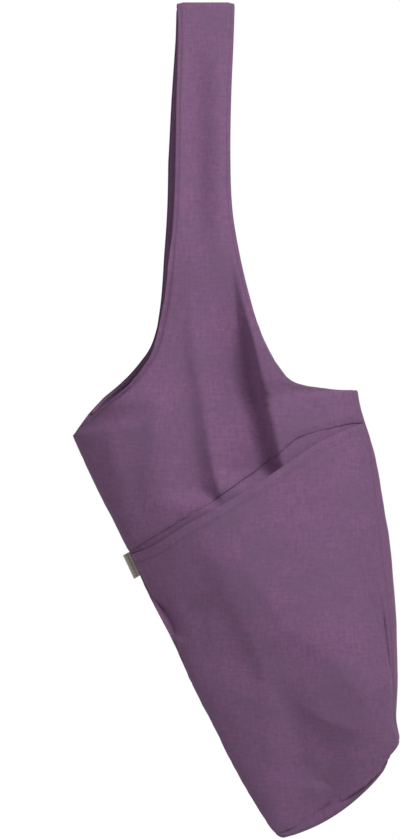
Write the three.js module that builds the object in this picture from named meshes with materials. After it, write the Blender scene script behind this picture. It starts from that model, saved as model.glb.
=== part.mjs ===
import * as THREE from 'three';

// Sling bag for a rolled mat, hung by its strap. Millimetres, +X right, +Z up, the front faces -Y.
// The origin is the inside of the strap's top fold.

const bagDrop = 859; // from the strap's fold down to the lowest point of the bottom seam
const strapWidth = 58;
const bodyFlare = 278; // reach of the widest section, which the tables' out shares are taken of
const rollRadius = 57; // round that the body is filled out to
const cloth = 1.6;
const seamGap = 0.3; // between pieces that are sewn face to face
const foldRadius = 4.5; // inside of the strap's top fold
const strapShift = 10; // how far the back strap hangs to the left of the front one
const mouthLift = 8; // back edge of the mouth above the front edge, on the left
const mouthDip = 6; // back edge of the mouth below the front edge, on the right
const seamWrap = 12; // how far the side seams lie in on the front
const foldWidth = 18;
const foldDepth = 12;
const seamBow = 20; // rise of the yoke's lower seam over a straight line
const bottomSag = 16;
const pocketStand = 11; // how far the loose pocket stands off the front
const pocketSlack = 2.5; // dip of the pocket's top edge
const yokeLap = 6;
const hemWidth = 7;
const hemThickness = 1.2;
const layerGap = 0.5; // between cloth and a layer sewn flat against it
const labelLength = 27;
const labelReach = 7;
const labelThickness = 1.2;
const labelDrop = 3;

const frontColumns = 24;
const backColumns = 18;
const foldSteps = 6;
const endTaper = 0.6; // how slim the section runs out on the right
const yokeEnd = 16; // section at the yoke's lower seam
const mouthCorner = 13;
const hemEnd = 12; // section where the mouth's hems run out
const bottomSection = 26;
const bottomTrim = 0.3; // how far short of the bottom seam the lower panel ends, in sections

const clothMaterial = new THREE.MeshStandardMaterial({ color: 0x7d5c7a, roughness: 0.92, metalness: 0 });
const innerMaterial = new THREE.MeshStandardMaterial({ color: 0x6f516c, roughness: 0.94, metalness: 0 });
const pocketMaterial = new THREE.MeshStandardMaterial({ color: 0x84607f, roughness: 0.92, metalness: 0 });
const labelMaterial = new THREE.MeshStandardMaterial({ color: 0x968c82, roughness: 0.8, metalness: 0 });

// Turns rows of numbers into records with the given column names.
function table(columns, rows) {
  return rows.map((row) => Object.fromEntries(columns.map((name, index) => [name, row[index]])));
}

// Both edges of each section. Out is a share of bodyFlare from the strap's edge, down a share of bagDrop.
const outline = table(['at', 'leftOut', 'leftDown', 'rightOut', 'rightDown'], [
  [0, 0.000, 0.000, 0.000, 0.000],
  [1, -0.002, 0.038, -0.004, 0.038],
  [2, 0.004, 0.110, -0.013, 0.110],
  [3, 0.007, 0.183, -0.016, 0.183],
  [4, 0.013, 0.243, -0.009, 0.243],
  [5, 0.026, 0.297, 0.017, 0.297],
  [6, 0.041, 0.346, 0.052, 0.346],
  [7, 0.061, 0.382, 0.087, 0.382],
  [8, 0.081, 0.409, 0.122, 0.409],
  [9, 0.111, 0.429, 0.156, 0.429],
  [10, 0.174, 0.455, 0.204, 0.448],
  [11, 0.252, 0.477, 0.267, 0.456],
  [12, 0.322, 0.496, 0.359, 0.459],
  [13, 0.389, 0.515, 0.456, 0.461],
  [14, 0.319, 0.568, 0.470, 0.479],
  [15, 0.250, 0.612, 0.478, 0.489],
  [16, 0.185, 0.654, 0.485, 0.498],
  [17, 0.104, 0.710, 0.519, 0.540],
  [18, 0.022, 0.761, 0.548, 0.593],
  [19, -0.052, 0.817, 0.578, 0.658],
  [20, -0.130, 0.866, 0.598, 0.728],
  [21, -0.207, 0.917, 0.604, 0.798],
  [22, -0.289, 0.963, 0.604, 0.852],
  [23, -0.330, 0.984, 0.604, 0.882],
  [24, -0.359, 0.995, 0.589, 0.898],
  [25, -0.381, 0.999, 0.576, 0.907],
  [26, -0.396, 1.000, 0.570, 0.910],
]);

// Where the edges lie. Turn is how far round the section an edge lies in from the outermost point, a share of
// half a turn. The rest are shares of strapShift, mouthLift, mouthDip and seamWrap.
const edges = table(['at', 'turnLeft', 'turnRight', 'shift', 'lift', 'dip', 'wrapLeft', 'wrapRight'], [
  [0, 0.43, 0.35, 0.1, 0.0, 0.0, 0.0, 0.0],
  [1, 0.43, 0.35, 0.3, 0.0, 0.0, 0.0, 0.0],
  [2, 0.43, 0.35, 0.6, 0.0, 0.0, 0.0, 0.0],
  [3, 0.43, 0.35, 0.9, 0.0, 0.0, 0.0, 0.0],
  [5, 0.43, 0.35, 0.8, 0.0, 0.0, 0.0, 0.0],
  [7, 0.43, 0.35, 0.5, 0.0, 0.2, 0.0, 0.0],
  [8, 0.42, 0.34, 0.6, 0.4, 0.5, 0.0, 0.0],
  [9, 0.38, 0.32, 0.8, 0.6, 0.8, 0.0, 0.0],
  [10, 0.32, 0.29, 0.8, 0.9, 1.0, 0.0, 0.0],
  [11, 0.24, 0.23, 0.8, 1.0, 1.0, 0.0, 0.0],
  [12, 0.13, 0.13, 0.6, 0.9, 0.8, 0.0, 0.0],
  [13, 0.00, 0.00, 0.0, 0.0, 0.0, 0.0, 0.0],
  [16, 0.00, 0.00, 0.0, 0.0, 0.0, 0.2, 0.1],
  [17, 0.00, 0.00, 0.0, 0.0, 0.0, 0.6, 0.5],
  [18, 0.00, 0.00, 0.0, 0.0, 0.0, 0.6, 0.8],
  [19, 0.00, 0.00, 0.0, 0.0, 0.0, 0.3, 1.0],
  [20, 0.00, 0.00, 0.0, 0.0, 0.0, 0.0, 0.95],
  [21, 0.00, 0.00, 0.0, 0.0, 0.0, 0.0, 0.75],
  [22, 0.00, 0.00, 0.0, 0.0, 0.0, 0.0, 0.3],
  [23, 0.00, 0.00, 0.0, 0.0, 0.0, 0.0, 0.0],
  [26, 0.00, 0.00, 0.0, 0.0, 0.0, 0.0, 0.0],
]);

// How each section is filled. Strap is how far it follows the straps, spread the share of rollRadius that they
// have opened to, fill the share of its own round, bow and sag the shares of seamBow and bottomSag.
const filling = table(['at', 'strap', 'spread', 'fill', 'bow', 'sag'], [
  [0, 1.00, 0.00, 1.00, 0.0, 0.0],
  [1, 1.00, 0.06, 1.00, 0.0, 0.0],
  [3, 1.00, 0.34, 1.00, 0.0, 0.0],
  [5, 1.00, 0.60, 1.00, 0.0, 0.0],
  [7, 1.00, 0.80, 1.00, 0.0, 0.0],
  [8, 0.90, 0.86, 1.00, 0.0, 0.0],
  [9, 0.70, 0.90, 1.00, 0.0, 0.0],
  [10, 0.45, 0.93, 1.00, 0.0, 0.0],
  [11, 0.22, 0.96, 1.00, 0.0, 0.0],
  [12, 0.06, 1.00, 1.00, 0.0, 0.0],
  [13, 0.00, 1.00, 1.00, 0.0, 0.0],
  [14, 0.00, 1.00, 1.00, 0.1, 0.0],
  [15, 0.00, 1.00, 1.00, 0.5, 0.0],
  [16, 0.00, 1.00, 1.00, 1.0, 0.0],
  [17, 0.00, 1.00, 1.00, 0.5, 0.0],
  [18, 0.00, 1.00, 1.00, 0.0, 0.0],
  [22, 0.00, 1.00, 1.00, 0.0, 0.1],
  [23, 0.00, 1.00, 0.96, 0.0, 0.4],
  [24, 0.00, 1.00, 0.80, 0.0, 0.7],
  [25, 0.00, 1.00, 0.45, 0.0, 0.95],
  [26, 0.00, 1.00, 0.00, 0.0, 1.0],
]);

// Folds of the front, each a line from one point to another. Out is a share of bodyFlare from the middle of the
// strap, down a share of bagDrop, bend a share of foldWidth, width and depth shares of foldWidth and foldDepth.
const foldColumns = ['fromOut', 'fromDown', 'toOut', 'toDown', 'bend', 'width', 'depth'];
const frontFolds = table(foldColumns, [
  [0.106, 0.319, 0.241, 0.552, 0.0, 1.0, 1.0],
  [0.293, 0.440, 0.320, 0.520, 0.0, 0.9, -0.35],
  [-0.031, 0.470, 0.041, 0.583, 0.0, 0.8, 0.5],
  [-0.344, 0.520, -0.340, 0.580, 0.0, 0.7, 0.2],
  [0.000, 0.060, 0.010, 0.380, 0.0, 0.8, 0.2],
]);
const pocketFolds = table(foldColumns, [
  [-0.055, 0.627, 0.180, 0.825, 1.0, 0.9, -0.35],
  [0.360, 0.832, 0.510, 0.862, 0.0, 0.6, -0.3],
  [-0.110, 0.722, 0.035, 0.702, 0.0, 0.8, -0.2],
]);

const lerp = THREE.MathUtils.lerp;
const smoothstep = THREE.MathUtils.smoothstep;

// Value of a column at a section number between the rows, in straight steps.
function straight(rows, column, at) {
  const next = rows.findIndex((row) => row.at >= at);
  if (next <= 0) return rows[next === 0 ? 0 : rows.length - 1][column];
  const low = rows[next - 1];
  const high = rows[next];
  return lerp(low[column], high[column], (at - low.at) / (high.at - low.at));
}

// Value of an outline column on a smooth curve through the rows.
function smooth(column, at) {
  const last = outline.length - 1;
  const index = Math.min(Math.floor(at), last - 1);
  const value = (row) => outline[THREE.MathUtils.clamp(row, 0, last)][column];
  const t = at - index;
  const [a, b, c, d] = [value(index - 1), value(index), value(index + 1), value(index + 2)];
  return b + 0.5 * t * (c - a + t * (2 * a - 5 * b + 4 * c - d + t * (3 * (b - c) + d - a)));
}

function heightAt(down) {
  return -foldRadius - down * (bagDrop - foldRadius);
}

// The two ends of a section as seen from the front, as x and z.
function sectionEnds(at, back) {
  const shift = back ? straight(edges, 'shift', at) * strapShift : 0;
  const lift = back ? straight(edges, 'lift', at) * mouthLift : 0;
  const dip = back ? straight(edges, 'dip', at) * mouthDip : 0;
  const leftX = -strapWidth / 2 - smooth('leftOut', at) * bodyFlare - shift;
  const rightX = strapWidth / 2 + smooth('rightOut', at) * bodyFlare - shift;
  return {
    left: new THREE.Vector2(leftX, heightAt(smooth('leftDown', at)) + lift),
    right: new THREE.Vector2(rightX, heightAt(smooth('rightDown', at)) - dip),
  };
}

// Angle round the section at a distance in from its end. Past the end it is negative.
function edgeAngle(distance, width) {
  return Math.sign(distance) * Math.acos(1 - (2 * Math.abs(distance)) / width);
}

// Half depth of the filled body across a section: round on the left, running out on the right.
function roundDepth(across, width) {
  const radius = Math.min(rollRadius, width / 2);
  if (across < radius) return Math.sqrt(radius ** 2 - (radius - across) ** 2);
  const run = (across - radius) / (width - radius);
  return radius * Math.pow(Math.max(1 - run ** 2, 0), endTaper);
}

// Depth that the folds press into the cloth at a place seen from the front.
function foldPress(folds, x, z) {
  let press = 0;
  for (const fold of folds) {
    const from = new THREE.Vector2(fold.fromOut * bodyFlare, heightAt(fold.fromDown));
    const to = new THREE.Vector2(fold.toOut * bodyFlare, heightAt(fold.toDown));
    const run = to.clone().sub(from);
    const offset = new THREE.Vector2(x, z).sub(from);
    const t = offset.dot(run) / run.lengthSq();
    const aside = offset.cross(run) / run.length();
    const bend = fold.bend * foldWidth * 4 * t * (1 - t);
    const away = (aside + bend) / (fold.width * foldWidth);
    const reach = smoothstep(t, 0, 0.55) * (1 - smoothstep(t, 0.95, 1.2));
    press += fold.depth * foldDepth * reach * Math.exp(-(away ** 2));
  }
  return press;
}

// A point of the bag's skin. At is the section number and across runs from the left edge, 0, to the right, 1.
function skinPoint(panel, at, across) {
  const back = panel === 'back';
  const { left, right } = sectionEnds(at, back);
  const turnLeft = straight(edges, 'turnLeft', at) * Math.PI;
  const turnRight = straight(edges, 'turnRight', at) * Math.PI;
  const wrapLeft = straight(edges, 'wrapLeft', at) * seamWrap * (back ? -1 : 1);
  const wrapRight = straight(edges, 'wrapRight', at) * seamWrap * (back ? -1 : 1);
  const along = right.clone().sub(left).normalize();
  const width = (2 * right.distanceTo(left)) / (Math.cos(turnLeft) + Math.cos(turnRight));
  const tuckLeft = (width * (1 - Math.cos(turnLeft))) / 2;
  const start = turnLeft + edgeAngle(wrapLeft, width);
  const end = Math.PI - turnRight - edgeAngle(wrapRight, width);
  const angle = lerp(start, end, across);
  const reach = (width * (1 - Math.cos(angle))) / 2;
  const share = reach / width;
  const swell = 4 * share * (1 - share);
  let rise = -straight(filling, 'sag', at) * bottomSag * swell;
  if (panel === 'front') rise += straight(filling, 'bow', at) * seamBow * 9.48 * share ** 3 * (1 - share);
  if (panel === 'pocket') rise -= (1 - smoothstep(at, yokeEnd, yokeEnd + 2)) * pocketSlack * swell;
  const x = left.x + along.x * (reach - tuckLeft) - along.y * rise;
  const z = left.y + along.y * (reach - tuckLeft) + along.x * rise;
  const strapDepth = foldRadius + cloth / 2 + straight(filling, 'spread', at) * (rollRadius - foldRadius);
  const bodyDepth = roundDepth(reach, width) * straight(filling, 'fill', at);
  const depth = lerp(bodyDepth, strapDepth, straight(filling, 'strap', at));
  const behind = back === Math.sin(angle) > 0 || Math.sin(angle) === 0 ? depth : -depth;
  if (back) return new THREE.Vector3(x, behind, z);
  const folds = panel === 'pocket' ? pocketFolds : frontFolds;
  const inner = smoothstep(Math.sin(Math.PI * across), 0, 0.6);
  return new THREE.Vector3(x, behind + foldPress(folds, x, z) * inner, z);
}

// Outward normal of the skin. On the sewn seams it is the mean of both panels' normals.
function skinNormal(panel, at, across) {
  const step = 0.02;
  const before = skinPoint(panel, at, Math.max(across - step, 0));
  const after = skinPoint(panel, at, Math.min(across + step, 1));
  const above = skinPoint(panel, Math.max(at - step, 0), across);
  const below = skinPoint(panel, Math.min(at + step, bottomSection), across);
  const normal = after.sub(before).cross(below.sub(above)).normalize();
  return panel === 'back' ? normal : normal.negate();
}

function seamNormal(panel, at, across) {
  const normal = skinNormal(panel, at, across);
  const onSide = (across === 0 || across === 1) && at >= mouthCorner;
  if (!onSide && at < bottomSection) return normal;
  const other = panel === 'back' ? 'front' : 'back';
  return normal.add(skinNormal(other, at, across)).normalize();
}

// A closed solid of even thickness from a grid of rows of { point, normal } in its middle.
function sheet(name, grid, thickness, material) {
  const rows = grid.length;
  const columns = grid[0].length;
  const positions = [];
  for (const side of [0.5, -0.5]) {
    for (const row of grid) {
      for (const node of row) {
        const place = node.point.clone().addScaledVector(node.normal, side * thickness);
        positions.push(place.x, place.y, place.z);
      }
    }
  }
  const faces = [];
  const vertex = (layer, row, column) => layer * rows * columns + row * columns + column;
  const quad = (a, b, c, d) => faces.push(a, b, c, a, c, d);
  const turned = (a, b, c, d) => faces.push(a, c, b, a, d, c);
  for (let row = 0; row < rows - 1; row += 1) {
    for (let column = 0; column < columns - 1; column += 1) {
      const corners = (layer) => [
        vertex(layer, row, column),
        vertex(layer, row + 1, column),
        vertex(layer, row + 1, column + 1),
        vertex(layer, row, column + 1),
      ];
      quad(...corners(0));
      turned(...corners(1));
    }
  }
  const rim = (row, column, nextRow, nextColumn) => quad(
    vertex(0, row, column),
    vertex(1, row, column),
    vertex(1, nextRow, nextColumn),
    vertex(0, nextRow, nextColumn),
  );
  for (let column = 0; column < columns - 1; column += 1) {
    rim(0, column + 1, 0, column);
    rim(rows - 1, column, rows - 1, column + 1);
  }
  for (let row = 0; row < rows - 1; row += 1) {
    rim(row, 0, row + 1, 0);
    rim(row + 1, columns - 1, row, columns - 1);
  }
  const geometry = new THREE.BufferGeometry();
  geometry.setAttribute('position', new THREE.Float32BufferAttribute(positions, 3));
  geometry.setIndex(signedVolume(positions, faces) < 0 ? faces.reverse() : faces);
  geometry.computeVertexNormals();
  const mesh = new THREE.Mesh(geometry, material);
  mesh.name = name;
  return mesh;
}

function signedVolume(positions, faces) {
  const corner = (index) => new THREE.Vector3().fromArray(positions, 3 * index);
  let volume = 0;
  for (let face = 0; face < faces.length; face += 3) {
    volume += corner(faces[face]).dot(corner(faces[face + 1]).cross(corner(faces[face + 2]))) / 6;
  }
  return volume;
}

// Share of a section's width that a distance in from its edge takes up.
function edgeShare(panel, at, fromLeft, distance) {
  const step = 0.04;
  const edge = skinPoint(panel, at, fromLeft ? 0 : 1);
  const near = skinPoint(panel, at, fromLeft ? step : 1 - step);
  return Math.min((distance * step) / edge.distanceTo(near), 0.2);
}

// Places across a section, with one at each hem's inner edge.
function columnsAt(panel, at, count) {
  const left = edgeShare(panel, at, true, hemWidth);
  const right = 1 - edgeShare(panel, at, false, hemWidth);
  const places = [0];
  for (let index = 0; index <= count - 2; index += 1) places.push(lerp(left, right, index / (count - 2)));
  places.push(1);
  return places;
}

function stepsBetween(from, to, count) {
  return Array.from({ length: count + 1 }, (_, index) => lerp(from, to, index / count));
}

// Draws the sewn edges of a grid back by half the seam's gap, along the cloth.
function trimSeams(grid, sections, trimsBottom) {
  const draw = (node, neighbour) => {
    const inward = neighbour.point.clone().sub(node.point).projectOnPlane(node.normal).normalize();
    node.point.addScaledVector(inward, seamGap / 2);
  };
  grid.forEach((row, index) => {
    if (sections[index] < mouthCorner) return;
    draw(row[0], row[1]);
    draw(row[row.length - 1], row[row.length - 2]);
  });
  if (trimsBottom) grid[grid.length - 1].forEach((node, index) => draw(node, grid[grid.length - 2][index]));
  return grid;
}

// Grid of a panel at a distance out from the skin. Stand gives any further distance at a place.
function panelGrid(panel, sections, count, out, stand = () => 0) {
  return sections.map((at) => columnsAt(panel, at, count).map((across) => {
    const normal = seamNormal(panel, at, across);
    const point = skinPoint(panel, at, across).addScaledVector(normal, out + stand(at, across));
    return { point, normal };
  }));
}

// Rows that carry the front's cloth over the hanging fold to the seam behind it.
function foldRows() {
  const front = columnsAt('front', 0, frontColumns).map((across) => skinPoint('front', 0, across));
  const back = columnsAt('front', 0, frontColumns).map((across) => skinPoint('back', 0, across));
  return stepsBetween(Math.PI, 0, foldSteps).slice(0, -1).map((angle) => front.map((point, index) => {
    const swing = (1 + Math.cos(angle)) / 2;
    const normal = new THREE.Vector3(0, -Math.cos(angle), Math.sin(angle));
    const axis = new THREE.Vector3(lerp(back[index].x, point.x, swing), 0, -foldRadius);
    const radius = Math.abs(point.y);
    return { point: axis.addScaledVector(normal, radius), normal };
  }));
}

// Section at which the lower panel's top edge ends, lapped behind the yoke.
function lapSection() {
  const step = smooth('leftDown', yokeEnd) - smooth('leftDown', yokeEnd - 1);
  return yokeEnd - yokeLap / (bagDrop * step);
}

function frontYoke() {
  const strap = stepsBetween(0, 8, 10);
  const mouth = stepsBetween(8, mouthCorner, 10).slice(1);
  const yoke = stepsBetween(mouthCorner, lapSection(), 6).slice(1);
  const sections = [...strap, ...mouth, ...yoke, yokeEnd];
  const grid = trimSeams(panelGrid('front', sections, frontColumns, 0), sections, false);
  return sheet('front_yoke_and_strap', [...foldRows(), ...grid], cloth, clothMaterial);
}

const bodySections = [
  ...stepsBetween(yokeEnd, yokeEnd + 6, 12),
  ...stepsBetween(yokeEnd + 6, bottomSection, 6).slice(1),
];

function frontLowerPanel() {
  const sections = [lapSection(), ...bodySections.slice(0, -1), bottomSection - bottomTrim];
  const grid = trimSeams(panelGrid('front', sections, frontColumns, -cloth - layerGap), sections, false);
  return sheet('front_lower_panel', grid, cloth, innerMaterial);
}

function pocketPanel() {
  const sections = bodySections.slice();
  sections[0] += 0.03;
  const stand = (at, across) => {
    const fall = 1 - smoothstep(at, yokeEnd, bottomSection);
    return pocketStand * Math.sin(Math.PI * across) ** 0.7 * fall;
  };
  const grid = trimSeams(panelGrid('pocket', sections, frontColumns, 0, stand), sections, true);
  return sheet('pocket_panel', grid, cloth, pocketMaterial);
}

function backPanel() {
  const strap = stepsBetween(0, 8, 10);
  const sections = [...strap, ...stepsBetween(8, yokeEnd, 16).slice(1), ...bodySections.slice(1)];
  const grid = trimSeams(panelGrid('back', sections, backColumns, 0), sections, true);
  const [top, second] = grid;
  top.forEach((node, index) => {
    node.normal.set(0, 1, 0);
    node.point.lerp(second[index].point, seamGap / node.point.distanceTo(second[index].point));
  });
  return sheet('back_panel_and_strap', grid, cloth, clothMaterial);
}

// Turned hem inside one edge of a panel, from the top fold down to just above the mouth's corner.
function mouthHem(name, panel, fromLeft) {
  const sections = [...stepsBetween(0, 8, 10), ...stepsBetween(8, hemEnd, 8).slice(1)];
  const drop = -(cloth + hemThickness) / 2 - layerGap;
  const grid = sections.map((at) => {
    const reach = edgeShare(panel, at, fromLeft, hemWidth);
    const places = fromLeft ? [0, reach] : [1 - reach, 1];
    return places.map((across) => {
      const normal = skinNormal(panel, at, across);
      return { point: skinPoint(panel, at, across).addScaledVector(normal, drop), normal };
    });
  });
  return sheet(name, grid, hemThickness, innerMaterial);
}

// Small woven tab sewn into the left side seam beside the pocket's top corner.
function sideLabel() {
  const sectionStep = smooth('leftDown', yokeEnd + 1) - smooth('leftDown', yokeEnd);
  const top = yokeEnd + labelDrop / (sectionStep * bagDrop);
  const bottom = top + labelLength / (sectionStep * bagDrop * 1.12);
  const grid = stepsBetween(top, bottom, 4).map((at) => {
    const { left, right } = sectionEnds(at, false);
    const outward = left.clone().sub(right).normalize();
    return [0, 0.5, 1].map((share) => {
      const reach = cloth / 2 + seamGap + share * labelReach;
      const point = new THREE.Vector3(left.x + outward.x * reach, share ** 2, left.y + outward.y * reach);
      return { point, normal: new THREE.Vector3(0, -1, 0) };
    });
  });
  return sheet('side_label', grid, labelThickness, labelMaterial);
}

const group = new THREE.Group();
group.add(frontYoke(), frontLowerPanel(), pocketPanel(), backPanel(), sideLabel());
group.add(mouthHem('front_left_hem', 'front', true), mouthHem('front_right_hem', 'front', false));
group.add(mouthHem('back_left_hem', 'back', true), mouthHem('back_right_hem', 'back', false));

export default group;
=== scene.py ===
"""A cloth sling bag, filled out round and hanging by its strap in a plain studio.

Lengths are in metres, +X is to the right, +Z is up and the pocket side faces -Y. The origin is the inside
of the strap's top fold, as in the solid model.
"""

import logging
import math
from collections.abc import Sequence
from dataclasses import dataclass, field
from enum import Enum
from typing import Any

import bpy
import numpy as np
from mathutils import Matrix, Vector


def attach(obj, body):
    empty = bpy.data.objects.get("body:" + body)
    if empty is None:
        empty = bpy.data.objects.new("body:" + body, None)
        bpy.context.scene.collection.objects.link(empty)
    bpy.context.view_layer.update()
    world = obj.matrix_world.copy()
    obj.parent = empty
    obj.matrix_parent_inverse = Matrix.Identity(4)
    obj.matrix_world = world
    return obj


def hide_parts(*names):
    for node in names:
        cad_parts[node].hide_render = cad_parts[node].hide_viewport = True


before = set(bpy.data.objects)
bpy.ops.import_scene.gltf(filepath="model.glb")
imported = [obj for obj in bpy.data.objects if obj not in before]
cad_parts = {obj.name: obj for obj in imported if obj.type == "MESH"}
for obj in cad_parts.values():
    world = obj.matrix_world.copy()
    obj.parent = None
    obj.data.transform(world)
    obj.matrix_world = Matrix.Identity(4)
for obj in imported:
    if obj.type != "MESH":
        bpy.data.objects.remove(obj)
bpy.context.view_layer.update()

logging.basicConfig(level=logging.INFO, format="%(message)s")
log = logging.getLogger("sling_bag")

MM = 0.001
RISE_STEPS = 20
CORNER_CUTS = 3
WALL_AT_ENDS = 0.3
NET_SIZE = 64
NET_START = (20.3, 40.7)


class Face(Enum):
    """The three skins that the panels are cut for."""

    FRONT = "front"
    POCKET = "pocket"
    BACK = "back"


class Edge(Enum):
    """The two long edges of a panel, as seen from the front."""

    LEFT = "left"
    RIGHT = "right"


class Shelf(Enum):
    """Names of the material slots."""

    CLOTH = "body_cloth"
    LABEL = "label_cloth"


def smoothstep(value: np.ndarray, low: float, high: float) -> np.ndarray:
    """Rises smoothly from 0 at low to 1 at high."""
    share = np.clip((value - low) / (high - low), 0.0, 1.0)
    return share * share * (3.0 - 2.0 * share)


def unit(vectors: np.ndarray) -> np.ndarray:
    """Scales vectors in the last axis to length 1."""
    return vectors / np.maximum(np.linalg.norm(vectors, axis=-1, keepdims=True), 1e-12)


def bell(distance: np.ndarray, centre: float, reach: float | np.ndarray) -> np.ndarray:
    """Rises to 1 at a centre and falls away over a reach on both sides of it."""
    return np.exp(-(((distance - centre) / reach) ** 2))


class Table:
    """Rows of numbers under named columns, the first of which is the section number."""

    def __init__(self, columns: str, rows: Sequence[Sequence[float]], corner: int = 1000) -> None:
        """Takes the columns' names, the rows and the section at which curves break."""
        self.columns = dict(zip(columns.split(), np.array(rows, dtype=float).T))
        self.corner = corner

    def straight(self, column: str, at: np.ndarray) -> np.ndarray:
        """Value of a column at section numbers, in straight steps between the rows."""
        return np.interp(at, self.columns["at"], self.columns[column])

    def smooth(self, column: str, at: np.ndarray) -> np.ndarray:
        """Value of a column on a curve through rows one section apart, which breaks at the corner.

        Args:
            column: Name of the column.
            at: Section numbers.

        Returns:
            The values, one for each section number.
        """
        values = self.columns[column]
        last = len(values) - 1
        index = np.minimum(np.floor(at).astype(int), last - 1)
        first = np.where(index >= self.corner, self.corner, 0)
        final = np.where(index < self.corner, min(self.corner, last), last)
        a, b, c, d = (values[np.clip(index + step, first, final)] for step in (-1, 0, 1, 2))
        t = at - index
        return b + 0.5 * t * (c - a + t * (2 * a - 5 * b + 4 * c - d + t * (3 * (b - c) + d - a)))


# Both edges of each section. Out is a share of the flare from the strap's edge, down a share of the drop.
OUTLINE = Table(
    "at left_out left_down right_out right_down",
    (
        (0, 0.000, 0.000, 0.000, 0.000),
        (1, -0.002, 0.038, -0.004, 0.038),
        (2, 0.004, 0.110, -0.013, 0.110),
        (3, 0.007, 0.183, -0.016, 0.183),
        (4, 0.013, 0.243, -0.009, 0.243),
        (5, 0.026, 0.297, 0.017, 0.297),
        (6, 0.041, 0.346, 0.052, 0.346),
        (7, 0.061, 0.382, 0.087, 0.382),
        (8, 0.081, 0.409, 0.122, 0.409),
        (9, 0.111, 0.429, 0.156, 0.429),
        (10, 0.174, 0.455, 0.204, 0.448),
        (11, 0.252, 0.477, 0.267, 0.456),
        (12, 0.322, 0.496, 0.359, 0.459),
        (13, 0.389, 0.515, 0.456, 0.461),
        (14, 0.319, 0.568, 0.470, 0.479),
        (15, 0.250, 0.612, 0.478, 0.489),
        (16, 0.185, 0.654, 0.485, 0.498),
        (17, 0.104, 0.710, 0.519, 0.540),
        (18, 0.022, 0.761, 0.548, 0.593),
        (19, -0.052, 0.817, 0.578, 0.658),
        (20, -0.130, 0.866, 0.598, 0.728),
        (21, -0.207, 0.917, 0.604, 0.798),
        (22, -0.289, 0.963, 0.600, 0.852),
        (23, -0.330, 0.984, 0.614, 0.882),
        (24, -0.359, 0.995, 0.577, 0.898),
        (25, -0.376, 0.999, 0.571, 0.906),
        (26, -0.388, 1.000, 0.568, 0.910),
    ),
    corner=13,
)

# Where the edges lie. Turn is how far round the section an edge lies in, a share of half a turn. The rest
# are shares of the strap's shift, the mouth's lift and dip, and the side seams' wrap.
EDGES = Table(
    "at turn_left turn_right shift lift dip wrap_left wrap_right",
    (
        (0, 0.43, 0.35, 0.1, 0.0, 0.0, 0.0, 0.0),
        (1, 0.43, 0.35, 0.3, 0.0, 0.0, 0.0, 0.0),
        (2, 0.43, 0.35, 0.6, 0.0, 0.0, 0.0, 0.0),
        (3, 0.43, 0.35, 0.9, 0.0, 0.0, 0.0, 0.0),
        (5, 0.43, 0.35, 0.8, 0.0, 0.0, 0.0, 0.0),
        (7, 0.43, 0.35, 0.5, 0.0, 0.2, 0.0, 0.0),
        (8, 0.42, 0.34, 0.6, 0.4, 0.5, 0.0, 0.0),
        (9, 0.38, 0.32, 0.8, 0.6, 0.8, 0.0, 0.0),
        (10, 0.32, 0.29, 0.8, 0.9, 1.0, 0.0, 0.0),
        (11, 0.24, 0.23, 0.8, 0.9, 1.1, 0.0, 0.0),
        (12, 0.13, 0.13, 0.6, 0.5, 1.3, 0.0, 0.0),
        (12.6, 0.05, 0.05, 0.2, 0.2, 1.15, 0.0, 0.0),
        (13, 0.00, 0.00, 0.0, 0.0, 0.0, 0.0, 0.0),
        (16, 0.00, 0.00, 0.0, 0.0, 0.0, 0.0, 0.1),
        (17, 0.00, 0.00, 0.0, 0.0, 0.0, 0.1, 0.5),
        (18, 0.00, 0.00, 0.0, 0.0, 0.0, 0.1, 0.8),
        (19, 0.00, 0.00, 0.0, 0.0, 0.0, 0.0, 1.0),
        (20, 0.00, 0.00, 0.0, 0.0, 0.0, 0.0, 0.8),
        (21, 0.00, 0.00, 0.0, 0.0, 0.0, 0.0, 0.5),
        (22, 0.00, 0.00, 0.0, 0.0, 0.0, 0.0, 0.25),
        (23, 0.00, 0.00, 0.0, 0.0, 0.0, 0.0, 0.0),
        (26, 0.00, 0.00, 0.0, 0.0, 0.0, 0.0, 0.0),
    ),
)

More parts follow.
